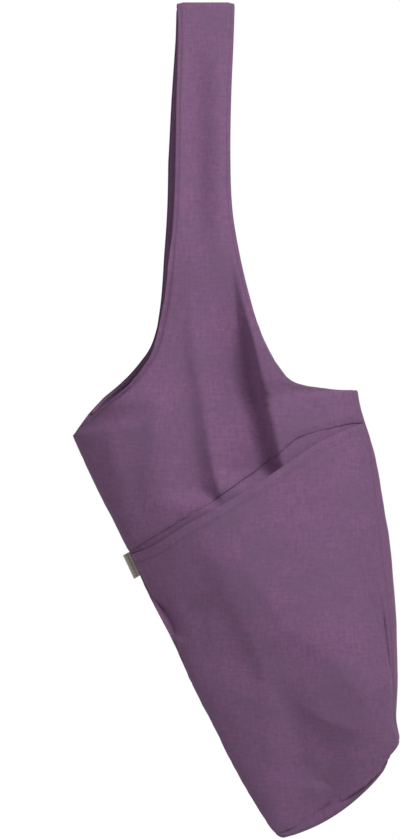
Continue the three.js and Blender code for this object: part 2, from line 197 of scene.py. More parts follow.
# How each section is filled. Strap is how far it follows the straps, spread the share of the body's radius
# that they have opened to, fill the share of its own round, crest where that is highest in millimetres,
# facet the straight share of its left slope, bow and sag the shares of the seam's bow and bottom's sag.
FILLING = Table(
    "at strap spread fill crest facet bow sag",
    (
        (0, 1.00, 0.00, 1.00, 70, 0.20, 0.0, 0.0),
        (1, 1.00, 0.06, 1.00, 70, 0.20, 0.0, 0.0),
        (3, 1.00, 0.34, 1.00, 70, 0.20, 0.0, 0.0),
        (5, 1.00, 0.60, 1.00, 70, 0.20, 0.0, 0.0),
        (7, 1.00, 0.80, 1.00, 70, 0.20, 0.0, 0.0),
        (8, 0.90, 0.86, 1.00, 70, 0.20, 0.0, 0.0),
        (9, 0.70, 0.90, 1.00, 70, 0.20, 0.0, 0.0),
        (10, 0.45, 0.93, 1.00, 76, 0.20, 0.0, 0.0),
        (11, 0.22, 0.96, 1.00, 80, 0.20, 0.0, 0.0),
        (12, 0.06, 1.00, 1.00, 90, 0.20, 0.0, 0.0),
        (13, 0.00, 1.00, 1.00, 97, 0.20, 0.0, 0.0),
        (14, 0.00, 1.00, 1.00, 102, 0.20, 0.1, 0.0),
        (15, 0.00, 1.00, 1.00, 102, 0.20, 0.5, 0.0),
        (16, 0.00, 1.00, 1.00, 100, 0.20, 1.0, 0.0),
        (17, 0.00, 1.00, 1.00, 98, 0.24, 0.5, 0.0),
        (18, 0.00, 1.00, 1.00, 104, 0.35, 0.0, 0.0),
        (19, 0.00, 1.00, 1.00, 116, 0.50, 0.0, 0.0),
        (20, 0.00, 1.00, 0.97, 138, 0.50, 0.0, 0.0),
        (20.5, 0.00, 1.00, 0.94, 145, 0.50, 0.0, 0.0),
        (21, 0.00, 1.00, 0.875, 150, 0.50, 0.0, 0.0),
        (21.5, 0.00, 1.00, 0.775, 150, 0.50, 0.0, 0.0),
        (22, 0.00, 1.00, 0.65, 150, 0.50, 0.0, 0.1),
        (22.5, 0.00, 1.00, 0.54, 150, 0.50, 0.0, 0.25),
        (23, 0.00, 1.00, 0.44, 150, 0.50, 0.0, 0.4),
        (24, 0.00, 1.00, 0.31, 150, 0.50, 0.0, 0.7),
        (25, 0.00, 1.00, 0.19, 150, 0.50, 0.0, 0.95),
        (26, 0.00, 1.00, 0.00, 150, 0.50, 0.0, 1.0),
    ),
)

# How far the yoke's seam and the pocket's top edge rise over the straight line between their ends, in
# millimetres, in twenty even steps from the left.
RISES = Table(
    "step seam pocket",
    (
        (0, 0.0, -3.5),
        (1, 0.6, -5.6),
        (2, 1.2, -6.6),
        (3, 1.8, -5.6),
        (4, 2.2, -4.3),
        (5, 2.7, -3.6),
        (6, 3.4, -3.5),
        (7, 4.6, -3.4),
        (8, 6.2, -3.0),
        (9, 7.4, -2.4),
        (10, 8.8, -1.7),
        (11, 9.9, -0.9),
        (12, 12.2, 0.3),
        (13, 14.2, 1.7),
        (14, 16.8, 2.9),
        (15, 19.4, 4.6),
        (16, 17.3, 5.2),
        (17, 13.6, 4.8),
        (18, 9.8, 3.6),
        (19, 6.0, 2.0),
        (20, 0.0, 0.0),
    ),
)


@dataclass(frozen=True)
class BagSizes:
    """Sizes of the bag, the same as in the solid model, and its landmark sections."""

    drop: float = 859 * MM
    strap_width: float = 58 * MM
    flare: float = 278 * MM
    body_radius: float = 57 * MM
    crest_limit: float = 0.78
    cloth: float = 1.2 * MM
    fold_radius: float = 4.5 * MM
    strap_shift: float = 8.5 * MM
    mouth_lift: float = 8 * MM
    mouth_dip: float = 11 * MM
    seam_wrap: float = 12 * MM
    seam_inset: float = 1.2 * MM
    bottom_sag: float = 12 * MM
    pocket_stand: float = 6 * MM
    layer_gap: float = 0.4 * MM
    stitch_lift: float = 0.05 * MM
    end_taper: float = 0.6
    rise_fade: float = 2.0
    mouth_corner: float = 13.0
    hem_end: float = 12.0
    yoke_end: float = 16.0
    lap_start: float = 15.84
    bottom_seam: float = 24.1
    bottom: float = 26.0


@dataclass(frozen=True)
class Crease:
    """A fold of the cloth along a line of (x, z) points in millimetres, seen from the front.

    The line runs down or to the right. Left and right are the widths of its two slopes in millimetres, depth
    is how far it is pressed in, negative for a ridge, and start and end are the shares of the line that it
    runs out over. With a wall, the line is a sharp crest, and the wall falls from it over its width to the
    bottom of the fold, on its own side, the steeper at the crest the higher the power crest is. Soft is the
    share of the line by which the crest has become sharp. Clear is how far from the edges of the cloth the
    fold runs out.
    """

    line: tuple[tuple[float, float], ...]
    left: float
    right: float
    depth: float
    start: float = 0.4
    end: float = 0.3
    wall: float = 0.0
    wall_side: Edge = Edge.LEFT
    crest: float = 1.7
    soft: float = 0.0
    clear: float = 12.0

    def rounded_line(self) -> np.ndarray:
        """The line in metres, with its corners cut off a few times over.

        Returns:
            Rows of x and z.
        """
        points = np.array(self.line) * MM
        for _ in range(CORNER_CUTS):
            before, after = points[:-1], points[1:]
            cut = np.stack((0.75 * before + 0.25 * after, 0.25 * before + 0.75 * after), axis=1)
            points = np.concatenate((points[:1], cut.reshape(-1, 2), points[-1:]))
        return points

    def press(self, x: np.ndarray, z: np.ndarray) -> np.ndarray:
        """Depth that the crease presses into the cloth.

        Args:
            x: Places to the right in metres.
            z: Heights in metres.

        Returns:
            Depths in metres, of the same shape as x.
        """
        points = self.rounded_line()
        upright = abs(points[-1, 1] - points[0, 1]) > abs(points[-1, 0] - points[0, 0])
        main, other = (-z, x) if upright else (x, z)
        line_main, line_other = (-points[:, 1], points[:, 0]) if upright else (points[:, 0], points[:, 1])
        lean = np.interp(main, line_main, np.gradient(line_other, line_main))
        away = (other - np.interp(main, line_main, line_other)) / np.hypot(1.0, lean)
        share = (main - line_main[0]) / (line_main[-1] - line_main[0])
        reach = smoothstep(share, 0.0, self.start) * (1.0 - smoothstep(share, 1.0 - self.end, 1.001))
        if not self.wall:
            return self.depth * MM * reach * bell(away, 0.0, np.where(away > 0, self.right, self.left) * MM)
        facing, beyond = (-1.0, self.left) if self.wall_side is Edge.LEFT else (1.0, self.right)
        wall = self.wall * MM * (WALL_AT_ENDS + (1.0 - WALL_AT_ENDS) * reach)
        sharp = smoothstep(share, 0.3 * self.soft - 0.01, self.soft)
        falling = sharp * (1.0 - (1.0 - np.clip(away * facing / wall, 0.0, 1.0)) ** self.crest)
        falling = falling + (1.0 - sharp) * smoothstep(away * facing / wall, -0.8, 1.0)
        rising = bell(np.maximum(away * facing - wall, 0.0), 0.0, beyond * MM)
        return self.depth * MM * reach * falling * rising


@dataclass(frozen=True)
class Ripple:
    """Soft unevenness of hanging cloth, from a fixed net of heights."""

    span: float
    height: float
    seed: int
    stretch: float = 1.0

    def rise(self, x: np.ndarray, z: np.ndarray) -> np.ndarray:
        """Rise of the cloth at places.

        Args:
            x: Distances one way in metres.
            z: Distances the other way in metres.

        Returns:
            Rises in the unit of the height.
        """
        net = np.random.default_rng(self.seed).uniform(-1.0, 1.0, (NET_SIZE, NET_SIZE))
        u, v = x / self.span + NET_START[0], z / (self.span * self.stretch) + NET_START[1]
        column, row = np.floor(u).astype(int), np.floor(v).astype(int)
        fu, fv = smoothstep(u - column, 0.0, 1.0), smoothstep(v - row, 0.0, 1.0)

        def corner(right: int, up: int) -> np.ndarray:
            """Height of the net at one corner of each place's square."""
            return net[(row + up) % NET_SIZE, (column + right) % NET_SIZE]

        top = corner(0, 0) * (1 - fu) + corner(1, 0) * fu
        bottom = corner(0, 1) * (1 - fu) + corner(1, 1) * fu
        return self.height * (top * (1 - fv) + bottom * fv)


DEEP_FOLD = Crease(
    (
        (29, -258), (33, -301), (40, -336), (45, -358), (56, -408),
        (63, -439), (68, -464), (72, -482), (78, -503),
    ),
    left=36, right=10, depth=29, start=0.6, end=0.1, wall=11.5, soft=9.0,
)
SECOND_FOLD = Crease(
    ((-20, -290), (-17, -356), (-6, -397), (1, -439), (6, -472), (14, -501), (20, -522)),
    left=26, right=10, depth=16, start=0.85, end=0.1, wall=18, crest=1.6, soft=0.9,
)
LEFT_LIP = ((-66, -596), (-53, -622), (-44, -638), (-33, -660))
YOKE_CREASES = (
    DEEP_FOLD,
    SECOND_FOLD,
    Crease(
        ((40, -300), (48, -345), (59, -392), (69, -437), (76, -470)),
        left=5, right=22, depth=-6.5, start=0.3, clear=3,
    ),
    Crease(((60, -350), (66, -379), (76, -408), (88, -437)), left=4, right=7, depth=-1.1, clear=3),
    Crease(((-97, -440), (-95, -492)), left=6, right=10, depth=-2.4),
    Crease(
        ((-14, -240), (-20, -300), (-22, -356), (-20, -400), (-18, -440), (-16, -480)),
        left=45, right=10, depth=9, start=0.4, end=0.5, wall=40, soft=9.0, clear=0.1,
    ),
    Crease(((-54, -395), (-58, -470), (-64, -535)), left=16, right=14, depth=3.2, wall=12, soft=2.0),
    Crease(
        ((-12, -20), (-10, -120), (-10, -220), (-13, -305)),
        left=14, right=13, depth=3.0, start=0.25, end=0.4,
    ),
    Crease(
        ((12, -20), (12, -120), (12, -220), (20, -305)),
        left=13, right=9, depth=-3.2, start=0.25, end=0.4, clear=5,
    ),
    Crease(((22, -380), (28, -430), (40, -480)), left=16, right=12, depth=-2.0),
    Crease(((112, -404), (116, -436)), left=5, right=6, depth=1.4),
)
POCKET_CREASES = (
    Crease(
        ((-22, -522), (-7, -556), (6, -577), (20, -600), (36, -628), (52, -656), (60, -684), (57, -722)),
        left=60, right=20, depth=8.0, start=0.6, end=0.3, wall=26, crest=2.2, soft=0.9, clear=3,
    ),
    Crease(
        ((62, -694), (84, -708), (102, -720), (122, -733), (142, -742), (162, -746)),
        left=90, right=10, depth=13, start=0.4, end=0.4, wall=40, crest=2.0, soft=0.6, clear=6,
    ),
    Crease(
        ((106, -768), (122, -790), (136, -808)),
        left=20, right=14, depth=2.4, wall=12, crest=2.0, soft=1.0,
    ),
    Crease(((-33, -622), (9, -604)), left=30, right=10, depth=1.8, wall=12, crest=2.0, soft=1.0),
    Crease(
        (
            (150, -540), (155, -582), (163, -612), (171, -632),
            (179, -655), (185, -676), (191, -717), (195, -752),
        ),
        left=10, right=20, depth=6.5, start=0.5, end=0.05, wall=3.5, wall_side=Edge.RIGHT, clear=8,
    ),
    Crease(LEFT_LIP, left=12, right=7, depth=-10, start=0.6, end=0.15, clear=0.05),
    Crease(
        ((-56, -604), (-45, -621), (-37, -634), (-30, -656)),
        left=4, right=10, depth=5, end=0.15, clear=1.5,
    ),
)
BACK_CREASES = (
    Crease(
        ((-22, -330), (-12, -420), (8, -520), (34, -610)),
        left=26, right=16, depth=5, wall=14, soft=1.0,
    ),
    Crease(((52, -330), (66, -390), (92, -450)), left=18, right=14, depth=6, wall=10, soft=0.8),
    Crease(((-70, -470), (-46, -540), (-10, -620)), left=20, right=18, depth=-2.6),
    Crease(((60, -700), (110, -722), (160, -730)), left=30, right=16, depth=4, wall=20, soft=1.0),
    Crease(LEFT_LIP, left=12, right=7, depth=10, start=0.6, end=0.15, clear=0.05),
)


@dataclass
class ClothGrid:
    """Rows of points on a piece of cloth, with what the seams and the weave need to know at each."""

    at: np.ndarray
    points: np.ndarray
    flat: np.ndarray
    from_left: np.ndarray
    from_right: np.ndarray
    outward: float

    def normals(self) -> np.ndarray:
        """Outward normals of the cloth."""
        across, down = np.gradient(self.points, axis=1), np.gradient(self.points, axis=0)
        return unit(np.cross(down, across)) * self.outward

    def edge(self) -> np.ndarray:
        """Distance of each point from the nearer of the two long edges."""
        return np.minimum(self.from_left, self.from_right)

    def hanging(self) -> np.ndarray:
        """How freely the cloth hangs: 0 near the strap's fold and 1 well below it."""
        return smoothstep(-self.points[..., 2], 0.03, 0.12)

    def uneven(self, ripples: Sequence[Ripple]) -> np.ndarray:
        """Rise of all ripples together over the flat cloth."""
        return sum(ripple.rise(self.flat[..., 0], self.flat[..., 1]) for ripple in ripples)

    def lift(self, height: np.ndarray | float) -> None:
        """Moves the points outwards by a height in metres at each."""
        self.points = self.points + self.normals() * np.asarray(height)[..., None]

    def down(self) -> np.ndarray:
        """Distance of each point from the first row, along its column."""
        steps = np.linalg.norm(np.diff(self.points, axis=0), axis=-1)
        return np.concatenate((np.zeros((1, steps.shape[1])), np.cumsum(steps, axis=0)))

    def along(self) -> np.ndarray:
        """Distance of each point from the first column, along its row."""
        steps = np.linalg.norm(np.diff(self.points, axis=1), axis=-1)
        return np.concatenate((np.zeros((steps.shape[0], 1)), np.cumsum(steps, axis=1)), axis=1)

    def part(self, rows: slice, columns: slice) -> "ClothGrid":
        """A rectangular part of the grid.

        Args:
            rows: Its rows.
            columns: Its columns.

        Returns:
            A grid of its own.
        """
        return ClothGrid(
            self.at[rows],
            self.points[rows, columns].copy(),
            self.flat[rows, columns],
            self.from_left[rows, columns],
            self.from_right[rows, columns],
            self.outward,
        )

    def rows_like(self, row: int, points: np.ndarray, flat: np.ndarray) -> "ClothGrid":
        """New rows of cloth in the section of one row, as far from the edges as that is.

        Args:
            row: Number of the row.
            points: Points of the new rows.
            flat: Their places on the flat cloth.

        Returns:
            The new rows as a grid.
        """
        count = len(points)
        sides = (np.repeat(side[row][None], count, axis=0) for side in (self.from_left, self.from_right))
        return ClothGrid(np.full(count, self.at[row]), points, flat, *sides, self.outward)

    def joined(self, below: "ClothGrid") -> "ClothGrid":
        """This cloth with another's rows added below it.

        Args:
            below: The other rows.

        Returns:
            The longer grid.
        """
        return ClothGrid(
            np.concatenate((self.at, below.at)),
            np.concatenate((self.points, below.points)),
            np.concatenate((self.flat, below.flat)),
            np.concatenate((self.from_left, below.from_left)),
            np.concatenate((self.from_right, below.from_right)),
            self.outward,
        )

    def area(self) -> float:
        """Area of one layer of the cloth.

        Returns:
            The area in square metres.
        """
        a = self.points[1:, 1:] - self.points[:-1, :-1]
        b = self.points[1:, :-1] - self.points[:-1, 1:]
        return float(np.linalg.norm(np.cross(a, b), axis=-1).sum() / 2)


@dataclass(frozen=True)
class Skin:
    """The bag's form: where its cloth lies when the body is filled out round."""

    sizes: BagSizes = field(default_factory=BagSizes)
    edge_steps: tuple[float, ...] = (0.0, 0.7, 1.4, 2.1, 2.8, 3.5, 4.2, 5.0, 6.0, 7.0, 9.0)
    fine_columns: int = 361
    fine_rows: int = 600

    def height(self, down: np.ndarray) -> np.ndarray:
        """Height of places that lie a share of the drop down."""
        return -self.sizes.fold_radius - down * (self.sizes.drop - self.sizes.fold_radius)

    def ends(self, at: np.ndarray, back: bool) -> tuple[np.ndarray, np.ndarray]:
        """The two ends of each section as seen from the front.

        Args:
            at: Section numbers.
            back: Whether they are the back panel's.

        Returns:
            The left and the right ends, each as rows of x and z.
        """
        size = self.sizes
        shift = EDGES.straight("shift", at) * size.strap_shift * back
        lift = EDGES.straight("lift", at) * size.mouth_lift * back
        dip = EDGES.straight("dip", at) * size.mouth_dip * back
        left_x = -size.strap_width / 2 - OUTLINE.smooth("left_out", at) * size.flare - shift
        right_x = size.strap_width / 2 + OUTLINE.smooth("right_out", at) * size.flare - shift
        left = np.stack((left_x, self.height(OUTLINE.smooth("left_down", at)) + lift), axis=-1)
        right = np.stack((right_x, self.height(OUTLINE.smooth("right_down", at)) - dip), axis=-1)
        inset = unit(right - left) * smoothstep(at, size.mouth_corner - 0.5, size.mouth_corner + 1)[:, None]
        return left + inset * size.seam_inset, right - inset * size.seam_inset

    def half_depth(
        self, reach: np.ndarray, width: np.ndarray, crest: np.ndarray, facet: np.ndarray
    ) -> np.ndarray:
        """Half the depth of the filled body across a section: round on the left, running out on the right.

        Args:
            reach: Distances from the section's left end.
            width: Width of the section.
            crest: Distance of its highest place from the left end.
            facet: Share of the left slope that is straight.

        Returns:
            Half depths in metres.
        """
        radius = np.minimum(self.sizes.body_radius, width / 2)
        side = np.minimum(crest, width * self.sizes.crest_limit)
        run = np.clip((reach - side) / (width - side), 0.0, 1.0)
        flat = np.clip(reach / side, 0.0, 1.0)
        left_slope = facet * flat + (1 - facet) * np.sqrt(1.0 - (1.0 - flat) ** 2)
        right_slope = (1.0 - run**2) ** self.sizes.end_taper
        return radius * np.where(reach < side, left_slope, right_slope)

    def place(
        self, face: Face, at: np.ndarray, across: np.ndarray
    ) -> tuple[np.ndarray, np.ndarray, np.ndarray]:
        """Points of the skin.

        Args:
            face: The skin.
            at: Section numbers, one for each row.
            across: Places in each row, from 0 on the left to 1 on the right.

        Returns:
            The points, the sections' directions and how far each point rises over its section's line.
        """
        size = self.sizes
        back = face is Face.BACK
        left, right = self.ends(at, back)
        turn_left, turn_right = (EDGES.straight(name, at) * math.pi for name in ("turn_left", "turn_right"))
        span = np.linalg.norm(right - left, axis=-1)
        along = (right - left) / span[:, None]
        width = 2 * span / (np.cos(turn_left) + np.cos(turn_right))
        sign = -1.0 if back else 1.0
        wraps = [
            sign * np.arccos(1 - 2 * EDGES.straight(name, at) * size.seam_wrap / width)
            for name in ("wrap_left", "wrap_right")
        ]
        first, last = turn_left + wraps[0], math.pi - turn_right - wraps[1]
        angle = first[:, None] * (1 - across) + last[:, None] * across
        reach = width[:, None] * (1 - np.cos(angle)) / 2
        share = reach / width[:, None]
        swell = 4 * share * (1 - share)

        def filling(name: str) -> np.ndarray:
            """How the rows are filled, one column of the table."""
            return FILLING.straight(name, at)[:, None]

        rise = -filling("sag") * size.bottom_sag * swell
        if face is Face.FRONT:
            rise = rise + filling("bow") * RISES.smooth("seam", share * RISE_STEPS) * MM
        if face is Face.POCKET:
            fall = 1 - smoothstep(at, size.yoke_end, size.yoke_end + size.rise_fade)[:, None]
            rise = rise + fall * RISES.smooth("pocket", share * RISE_STEPS) * MM
        tuck = (width * (1 - np.cos(turn_left)) / 2)[:, None]
        x = left[:, :1] + along[:, :1] * (reach - tuck) - along[:, 1:] * rise
        z = left[:, 1:] + along[:, 1:] * (reach - tuck) + along[:, :1] * rise
        strap = size.fold_radius + size.cloth / 2 + filling("spread") * (size.body_radius - size.fold_radius)
        body = self.half_depth(reach, width[:, None], filling("crest") * MM, filling("facet"))
        body = body * filling("fill")
        depth = body + (strap - body) * filling("strap")
        y = np.where(np.sin(angle) >= 0, -depth, depth) * sign
        return np.stack((x, y, z), axis=-1), along, rise

    def grid(self, face: Face, at: np.ndarray, columns: int) -> ClothGrid:
        """Lays a grid on the skin, with columns at fixed distances from both edges and even ones between.

        Args:
            face: The skin.
            at: Section numbers of the rows.
            columns: How many even columns lie between those along the edges.

        Returns:
            The grid.
        """
        across = np.tile(np.linspace(0.0, 1.0, self.fine_columns), (len(at), 1))
        points, along, _ = self.place(face, at, across)
        steps = np.linalg.norm(np.diff(points, axis=1), axis=-1)
        reached = np.concatenate((np.zeros((len(at), 1)), np.cumsum(steps, axis=1)), axis=1)
        edge = np.array(self.edge_steps) * MM
        even = np.linspace(0.0, 1.0, columns + 2)[1:-1]
        rows, places = [], []
        for index, total in enumerate(reached[:, -1]):
            inner = edge[-1] + even * (total - 2 * edge[-1])
            places.append(np.concatenate((edge, inner, total - edge[::-1])))
            rows.append(np.interp(places[-1], reached[index], across[index]))
        across, distance = np.array(rows), np.array(places)
        points, along, rise = self.place(face, at, across)
        left, right = self.ends(at, face is Face.BACK)
        total = reached[:, -1:]
        middle = (left + right) / 2
        offset = distance - total / 2
        flat_x = middle[:, :1] + along[:, :1] * offset - along[:, 1:] * rise
        flat_z = middle[:, 1:] + along[:, 1:] * offset + along[:, :1] * rise
        outward = -1.0 if face is Face.BACK else 1.0
        flat = np.stack((flat_x, flat_z), axis=-1)
        return ClothGrid(at, points, flat, distance, total - distance, outward)

    def even_rows(self, face: Face, start: float, end: float, spacing: float) -> np.ndarray:
        """Section numbers whose middles are evenly spaced down a panel.

        Args:
            face: The skin that the panel lies in.
            start: The first section.
            end: The last section.
            spacing: Distance from one to the next, about.

        Returns:
            The section numbers.
        """
        fine = np.linspace(start, end, self.fine_rows)
        points, _, _ = self.place(face, fine, np.full((self.fine_rows, 1), 0.5))
        steps = np.linalg.norm(np.diff(points[:, 0], axis=0), axis=-1)
        reached = np.concatenate(([0.0], np.cumsum(steps)))
        count = max(int(round(reached[-1] / spacing)), 2)
        return np.interp(np.linspace(0.0, reached[-1], count + 1), reached, fine)

    def press(self, grid: ClothGrid, creases: Sequence[Crease]) -> None:
        """Presses creases into a grid, which run out towards its edges.

        Args:
            grid: The grid, which is changed.
            creases: The creases.
        """
        x, z = grid.points[..., 0], grid.points[..., 2]
        edge = grid.edge()
        depth = sum(crease.press(x, z) * smoothstep(edge, 0.0, crease.clear * MM) for crease in creases)
        grid.points[..., 1] += grid.outward * depth


@dataclass(frozen=True)
class Sewing:
    """Turns grids of cloth into closed meshes and gives them their sewn edges."""

    sizes: BagSizes
    rim: float = 0.45
    droop: float = 1.0 * MM
    droop_reach: float = 3.2 * MM
    stitch_line: float = 3.5 * MM
    groove: float = 0.45 * MM
    groove_reach: float = 0.8 * MM
    wear_and_shade_reach: float = 0.9 * MM
    gather: float = 6.5 * MM
    gather_stretch: float = 4.0
    gather_reach: float = 7 * MM

    def mesh(
        self, name: str, grid: ClothGrid, thickness: float, worn_and_shaded: np.ndarray | None = None
    ) -> bpy.types.Object:
        """Makes a closed cloth of even thickness with round edges.

        Args:
            name: Name of the piece.
            grid: The middle of the cloth.
            thickness: Thickness in metres.
            worn_and_shaded: How much darker each point is coloured, from 0 to 1: along the stitches, and as
                painted shade on the band turned under the bottom.

        Returns:
            The new object.
        """
        rows, columns = grid.points.shape[:2]
        normals = grid.normals()
        outer = (grid.points + normals * thickness / 2).reshape(-1, 3)
        inner = (grid.points - normals * thickness / 2).reshape(-1, 3)
        count = rows * columns
        index = np.arange(count).reshape(rows, columns)
        ring = np.concatenate((index[0, :-1], index[:-1, -1], index[-1, :0:-1], index[:0:-1, 0]))
        inside = np.concatenate((index[1, :-1], index[:-1, -2], index[-2, :0:-1], index[:0:-1, 1]))
        flat_points, flat_normals = grid.points.reshape(-1, 3), normals.reshape(-1, 3)
        away = flat_points[ring] - flat_points[inside]
        away -= flat_normals[ring] * np.sum(away * flat_normals[ring], axis=1, keepdims=True)
        rim = flat_points[ring] + unit(away) * thickness * self.rim
        vertices = np.concatenate((outer, inner, rim))
        around = (index[:-1, :-1], index[1:, :-1], index[1:, 1:], index[:-1, 1:])
        quads = np.stack(around, axis=-1).reshape(-1, 4)
        following = np.roll(ring, -1)
        rim_index = 2 * count + np.arange(len(ring))
        rim_next = np.roll(rim_index, -1)
        outer_rim = np.stack((ring, following, rim_next, rim_index), axis=-1)
        inner_rim = np.stack((rim_index, rim_next, following + count, ring + count), axis=-1)
        faces = np.concatenate((quads, quads[:, ::-1] + count, outer_rim, inner_rim))
        if grid.outward < 0:
            faces = faces[:, ::-1]
        mesh = bpy.data.meshes.new(name)
        mesh.from_pydata(vertices.tolist(), [], faces.tolist())
        mesh.polygons.foreach_set("use_smooth", np.ones(len(mesh.polygons), dtype=bool))
        flat = grid.flat.reshape(-1, 2)
        uv = np.concatenate((flat, flat, flat[ring]))
        layer = mesh.uv_layers.new(name="cloth")
        corners = np.empty(len(mesh.loops), dtype=np.int32)
        mesh.loops.foreach_get("vertex_index", corners)
        layer.data.foreach_set("uv", uv[corners].astype(np.float32).ravel())
        wear_and_painted_shade = np.zeros(count) if worn_and_shaded is None else worn_and_shaded.reshape(-1)
        attribute = mesh.attributes.new("wear_and_painted_shade", "FLOAT", "POINT")
        attribute.data.foreach_set("value", np.concatenate((wear_and_painted_shade, wear_and_painted_shade, wear_and_painted_shade[ring])).astype(np.float32))
        mesh.validate()
        mesh.update()
        thing = bpy.data.objects.new(name, mesh)
        bpy.context.collection.objects.link(thing)
        return thing

    def hem_relief(self, distance: np.ndarray) -> np.ndarray:
        """Relief of a turned and stitched edge: it falls off softly, with a groove along the stitches.

        Args:
            distance: Distances from the edge.

        Returns:
            Rises in metres, none above 0.
        """
        droop = self.droop * bell(distance, 0.0, self.droop_reach)
        groove = self.groove * bell(distance, self.stitch_line, self.groove_reach)
        return -droop - groove

    def hemmed(self, grid: ClothGrid) -> np.ndarray:
        """How far each row is hemmed, from 1 along the strap to 0 at the mouth's corner."""
        return 1.0 - smoothstep(grid.at, self.sizes.hem_end, self.sizes.mouth_corner)[:, None]

    def hems(self, grid: ClothGrid) -> np.ndarray:
        """Relief of the hems along both edges of a panel."""
        return (self.hem_relief(grid.from_left) + self.hem_relief(grid.from_right)) * self.hemmed(grid)

    def wear_and_painted_shade(self, distance: np.ndarray) -> np.ndarray:
        """How much darker the cloth is coloured along an edge's stitches."""
        return bell(distance, self.stitch_line, self.wear_and_shade_reach)

    def face(self, panel: ClothGrid) -> np.ndarray:
        """Points of a panel's outer face, where its stitches lie."""
        return panel.points + panel.normals() * (self.sizes.cloth / 2 + self.sizes.stitch_lift)

    def pucker(self, along: np.ndarray, away: np.ndarray, seed: int, height: float = 0.5 * MM) -> np.ndarray:
        """Small gathers that a line of stitches draws the cloth into.

        Args:
            along: Distance along the stitches.
            away: Distance from the stitches.
            seed: Seed of the unevenness.
            height: Height of the gathers.

        Returns:
            Rise of the cloth in metres.
        """
        uneven = Ripple(self.gather, 1.0, seed, self.gather_stretch).rise(along, away)
        return height * uneven * np.exp(-away / self.gather_reach)


@dataclass(frozen=True)
class LinenFinish:
    """Heathered plain-weave cloth: colours in linear light and the strength of its weave."""

    name: str
    light: tuple[float, float, float]
    shade: tuple[float, float, float]
    cool: tuple[float, float, float]
    # Darker colour mixed in along the stitches, and as painted shade on the band turned under the bottom.
    worn_and_shaded: tuple[float, float, float]
    pitch: float = 0.95 * MM
    bump: float = 0.4

    def material(self, weave: bpy.types.NodeTree) -> bpy.types.Material:
        """Makes the cloth's material.

        Args:
            weave: The shared weave's node group.

        Returns:
            The material.
        """
        bench = NodeBench.of_material(self.name)
        coordinates = bench.add("ShaderNodeUVMap", uv_map="cloth").outputs[0]
        group = bench.add("ShaderNodeGroup", node_tree=weave)
        bench.feed(group, {"Place": coordinates, "Pitch": self.pitch})
        threads = bench.mix(group.outputs["Fleck"], self.shade, self.light)
        patched = bench.mix(group.outputs["Patch"], threads, self.cool)
        # Darker where the mesh's darkening attribute says so: along the stitches, and painted shade on the
        # band turned under the bottom.
        wear_and_painted_shade = bench.add("ShaderNodeAttribute", attribute_name="wear_and_painted_shade").outputs["Fac"]
        colour = bench.mix(wear_and_painted_shade, patched, self.worn_and_shaded)
        rough = bench.add("ShaderNodeMapRange")
        bench.feed(rough, {"Value": group.outputs["Fleck"], "To Min": 0.93, "To Max": 0.8})
        bump = bench.add("ShaderNodeBump")
        bench.feed(bump, {"Strength": self.bump, "Distance": 0.25 * MM, "Height": group.outputs["Height"]})
        bench.surface(
            {
                "Base Color": colour,
                "Roughness": rough.outputs[0],
                "Normal": bump.outputs[0],
                "Specular IOR Level": 0.25,
                "Sheen Weight": 0.22,
                "Sheen Roughness": 0.45,
                "Sheen Tint": (0.86, 0.62, 0.84, 1.0),
            }
        )
        return bench.owner


@dataclass(frozen=True)
class TapeFinish:
    """Narrow woven tape with fine ribs and a plain zigzag."""

    name: str = "label_tape"
    ground: tuple[float, float, float] = (0.62, 0.55, 0.48)
    figure: tuple[float, float, float] = (0.15, 0.125, 0.11)
    border: tuple[float, float, float] = (0.68, 0.61, 0.54)
    zigzags: float = 7.0
    figure_width: float = 0.07
    border_from: float = 0.4
    rib_angle: float = 240.0

    def material(self) -> bpy.types.Material:
        """Makes the tape's material. Its map runs from 0 to 1 along and across the tape.

        Returns:
            The material.
        """
        bench = NodeBench.of_material(self.name)
        place = bench.add("ShaderNodeSeparateXYZ")
        bench.feed(place, {"Vector": bench.add("ShaderNodeUVMap", uv_map="tape").outputs[0]})
        along, across = place.outputs["X"], place.outputs["Y"]
        swing = bench.math("PINGPONG", bench.math("MULTIPLY", along, self.zigzags), 0.5)
        centre = bench.math("ADD", bench.math("MULTIPLY", swing, 0.5), 0.3)
        away = bench.math("ABSOLUTE", bench.math("SUBTRACT", across, centre))
        figure = bench.math("LESS_THAN", away, self.figure_width)
        ground = bench.mix(bench.math("MULTIPLY", figure, 0.75), self.ground, self.figure)
        from_middle = bench.math("ABSOLUTE", bench.math("SUBTRACT", across, 0.5))
        edge = bench.math("GREATER_THAN", from_middle, self.border_from)
        colour = bench.mix(bench.math("MULTIPLY", edge, 0.6), ground, self.border)
        ribs = bench.math("SINE", bench.math("MULTIPLY", along, self.rib_angle))
        bump = bench.add("ShaderNodeBump")
        bench.feed(bump, {"Strength": 0.6, "Distance": 0.2 * MM, "Height": ribs})
        bench.surface(
            {"Base Color": colour, "Roughness": 0.7, "Normal": bump.outputs[0], "Specular IOR Level": 0.3}
        )
        return bench.owner


@dataclass(frozen=True)
class ThreadFinish:
    """Sewing thread of the cloth's own colour."""

    name: str = "sewing_thread"
    colour: tuple[float, float, float] = (0.2, 0.105, 0.195)
    dark_share: float = 0.7
    twist_scale: float = 2600.0

    def material(self) -> bpy.types.Material:
        """Makes the thread's material, with a fine twist.

        Returns:
            The material.
        """
        bench = NodeBench.of_material(self.name)
        place = bench.add("ShaderNodeTexCoord").outputs["Object"]
        twist = bench.add("ShaderNodeTexNoise")
        bench.feed(twist, {"Vector": place, "Scale": self.twist_scale, "Detail": 1.0})
        darker = tuple(self.dark_share * value for value in self.colour)
        colour = bench.mix(twist.outputs[0], darker, self.colour)
        bump = bench.add("ShaderNodeBump")
        bench.feed(bump, {"Strength": 0.4, "Distance": 0.1 * MM, "Height": twist.outputs[0]})
        bench.surface(
            {"Base Color": colour, "Roughness": 0.6, "Normal": bump.outputs[0], "Sheen Weight": 0.2}
        )
        return bench.owner


